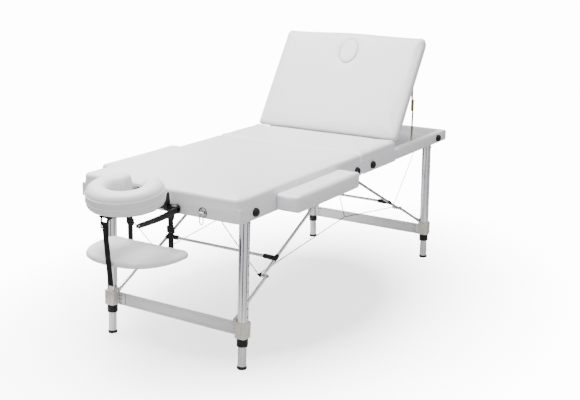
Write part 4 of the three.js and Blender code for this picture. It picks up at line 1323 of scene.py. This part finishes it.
def make_cables():
    """On each side: corner, knee, dip, knee, corner, and a drop from the fold that holds the dip up."""
    for side_name, side in SIDES:
        low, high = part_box(f"brace_cable_{side_name}")
        y = (low.y + high.y) / 2
        knees, corners = {}, {}
        for end_name, end in ENDS:
            knee = joint_place(f"{end_name}_lower_strut")
            knees[end_name] = Vector((knee.x, y, knee.z))
            x = low.x + 1.6 * MM if end < 0 else high.x - 1.6 * MM
            corners[end_name] = Vector((x, y, UNDERSIDE - GAP))
        dip = Vector((CABLE_DIP.x, y, CABLE_DIP.z))
        halfway = dip.lerp(knees["foot"], 0.5)
        drop_top = Vector((FOLD_X - 9 * MM, y, UNDERSIDE - 3 * MM))
        first = cable_piece(f"cable_head_corner_{side_name}", corners["head"], knees["head"],
                            ("head_half", "head_upper_struts"), CABLE_SAG)
        for name, start, end, bodies, sag in (
                ("head_run", knees["head"], dip, ("head_upper_struts", "head_half"), 0),
                ("fold_run", dip, halfway, ("head_half", "foot_half"), 0),
                ("foot_run", halfway, knees["foot"], ("foot_half", "foot_upper_struts"), 0),
                ("foot_corner", corners["foot"], knees["foot"], ("foot_half", "foot_upper_struts"),
                 CABLE_SAG),
                ("drop", drop_top, dip, ("head_half",), 0)):
            cable_piece(f"cable_{name}_{side_name}", start, end, bodies, sag)
        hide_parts(f"brace_cable_{side_name}")
        for end_name, _ in ENDS:
            eye, knee = corners[end_name], knees[end_name]
            crimp = merge(f"{end_name}_cable_anchor_{side_name}", [
                lathe("ferrule", mm((0, 2.6), (1, 3), (11, 3), (12, 2)), eye.lerp(knee, 0.03), knee - eye,
                      STEEL, 20),
                block("tab", (eye.x - 9 * MM, y - 6 * MM, eye.z - 2 * MM),
                      (eye.x + 9 * MM, y + 6 * MM, eye.z), 0.8 * MM, STEEL)])
            fit(crimp, f"{end_name}_half", "steel")
            lug = merge(f"{end_name}_cable_lug_{side_name}", [
                lathe("eye", mm((-4, 3), (-3, 5), (3, 5), (4, 3)), knee, (0, 1, 0), BLACK, 24),
                lathe("stub", mm((0, 2.6), (14, 2.6)), knee, (0, side, 0), STEEL, 16)])
            fit(lug, f"{end_name}_upper_struts", "steel")
        splice = lathe(
            f"cable_splice_{side_name}", mm((-5, 1.8), (-4, 3.2), (4, 3.2), (5, 1.8)), dip, (1, 0, 0),
            STEEL, 20)
        fit(splice, "head_half", "steel")


# ---------- stays, bumpers, latch and small fittings ----------

STAY_HALF_THICKNESS = 1.3 * MM


def make_stays():
    """Pins at the ends of the notched bars that hold the backrest up."""
    for group in ("lower", "upper"):
        centre = joint_place(f"stay_{group}")
        for side_name, _ in SIDES:
            y = middle_y(f"stay_{group}_{side_name}")
            heads = [
                rivet((centre.x, y + way * STAY_HALF_THICKNESS, centre.z), (0, way, 0), 5 * MM, STEEL)
                for way in (-1, 1)]
            fit(merge(f"stay_{group}_pin_{side_name}", heads), f"stays_{group}", "zinc_stay")


BUMPER_RADIUS = 17 * MM
BUMPER_HEIGHT = 13 * MM
BUMPER_Z = UNDERSIDE + 27 * MM


def make_bumpers():
    """Domed rubber bumpers that keep the folded halves apart: four on each long side."""
    places = (("head_half", "head_end", HEAD_LOW.x + 94 * MM), ("head_half", "head_fold", FOLD_X - 50 * MM),
              ("foot_half", "foot_fold", FOLD_X + 96 * MM),
              ("foot_half", "foot_end", FOOT_HIGH.x - 112 * MM))
    for side_name, side in SIDES:
        for body, place_name, x in places:
            rim = 2.5 * MM
            profile = [(-2 * MM, BUMPER_RADIUS * 0.9), (0, BUMPER_RADIUS), (rim, BUMPER_RADIUS)]
            for i in range(1, 9):
                angle = math.pi / 2 * i / 8.6
                proud = rim + BUMPER_HEIGHT * math.sin(angle)
                profile.append((proud, BUMPER_RADIUS * math.cos(angle) ** 0.8))
            dome = lathe(
                f"bumper_{place_name}_{side_name}", profile, (x, side * (HALF_WIDTH + WRAP), BUMPER_Z),
                (0, side, 0), RUBBER, 40, 60)
            fit(dome, body, "black_plastic")


def make_latch():
    """A chrome dish with a pressed cross, and the wire bail that hangs from it."""
    face = HEAD_LOW.x - WRAP
    y = middle_y("latch_base")
    pivot = joint_place("latch_hook_swing")
    z = pivot.z
    dish = lathe(
        "dish", mm((-1, 17), (1.4, 17), (2.2, 16), (2.2, 14.5), (3.4, 12.6), (5.2, 9), (5.8, 4), (5.9, 1)),
        (face, y, z), (-1, 0, 0), CHROME, 48)
    backing = lathe(
        "backing", mm((-1, 19), (0.8, 19), (1.3, 18.3), (1.3, 10)), (face, y, z), (-1, 0, 0), BLACK, 48)
    parts = [dish, backing]
    rib_reach = 13.5 * MM
    for angle in (45, 135):
        turn = math.radians(angle)
        dy, dz = rib_reach * math.cos(turn), rib_reach * math.sin(turn)
        steps = ((-1, 3.4), (-0.5, 6.3), (0, 6.8), (0.5, 6.3), (1, 3.4))
        line = [(face - proud * MM, y + way * dy, z + way * dz) for way, proud in steps]
        parts.append(tube("rib", line, 1.7 * MM, CHROME))
    for way in (-1, 1):
        ear_y = y + way * 10.5 * MM
        parts.append(block("ear", (face - 12 * MM, ear_y - 1.2 * MM, z - 4 * MM),
                           (face - 1 * MM, ear_y + 1.2 * MM, z + 4 * MM), 0.8 * MM, CHROME))
    fit(merge("latch_dish", parts), "head_half", "chrome", "latch_base")

    half, drop = 8 * MM, 36 * MM
    outline = [(-10 * MM, 0), (-half, -2 * MM), (-half, -drop)]
    for i in range(1, 12):
        angle = math.pi * i / 12
        outline.append((-half * math.cos(angle), -drop - half * math.sin(angle)))
    outline += [(half, -drop), (half, -2 * MM), (10 * MM, 0)]
    axle = [(pivot.x, y - 12 * MM, z), (pivot.x, y + 12 * MM, z)]
    bail = merge("latch_bail", [
        tube("wire", [(pivot.x, y + across, z + up) for across, up in outline], 2.1 * MM, CHROME, 16),
        tube("axle", axle, 2.3 * MM, CHROME, 16)])
    fit(bail, "latch_hook", "chrome", "latch_hook")


def make_deck_screws():
    """Screws along both long edges of each deck board, on the foot board from above as well."""
    edge, end_gap, gaps = 18 * MM, 30 * MM, 4
    for end_name, _ in ENDS:
        low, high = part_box(f"{end_name}_deck")
        screws = []
        for i in range(gaps + 1):
            x = low.x + end_gap + (high.x - low.x - 2 * end_gap) * i / gaps
            for y in (low.y + edge, high.y - edge):
                screws.append(rivet((x, y, low.z), (0, 0, -1), 3.4 * MM, STEEL))
                if end_name == "foot":
                    screws.append(rivet((x, y, high.z), (0, 0, 1), 3.4 * MM, STEEL))
        fit(merge(f"{end_name}_deck_screws", screws), f"{end_name}_half", "steel")


CAD_LOOKS = (
    (("deck", "board"), BOARD),
    (("hinge", "axle"), STEEL),
    (("stay",), ZINC_YELLOW),
    (("cradle",), BLACK),
    (("frame",), UPHOLSTERY),
)


def dress_cad():
    for name, node in frame["nodes"].items():
        for words, material in CAD_LOOKS:
            if any(word in name for word in words):
                node.data.materials.clear()
                node.data.materials.append(material)
                break


# ---------- the whole table ----------

make_camera()
make_studio()
make_cables()
dress_cad()
make_head_pad()
make_foot_pad()
make_backrest_pad()
make_armrests()
make_cradle_pad()
make_cradle_frame()
make_cradle_lever()
make_shelf()
make_straps()
make_strap_hanger()
for end_word, end_sign in ENDS:
    for side_word, side_sign in SIDES:
        make_outer_leg(end_word, side_word, side_sign)
        make_inner_leg(end_word, side_word, side_sign)
        make_bracket(end_word, end_sign, side_word, side_sign)
        make_collar(end_word, side_word)
    make_crossbar(end_word, end_sign)
    make_struts(end_word)
make_stays()
make_bumpers()
make_latch()
make_deck_screws()
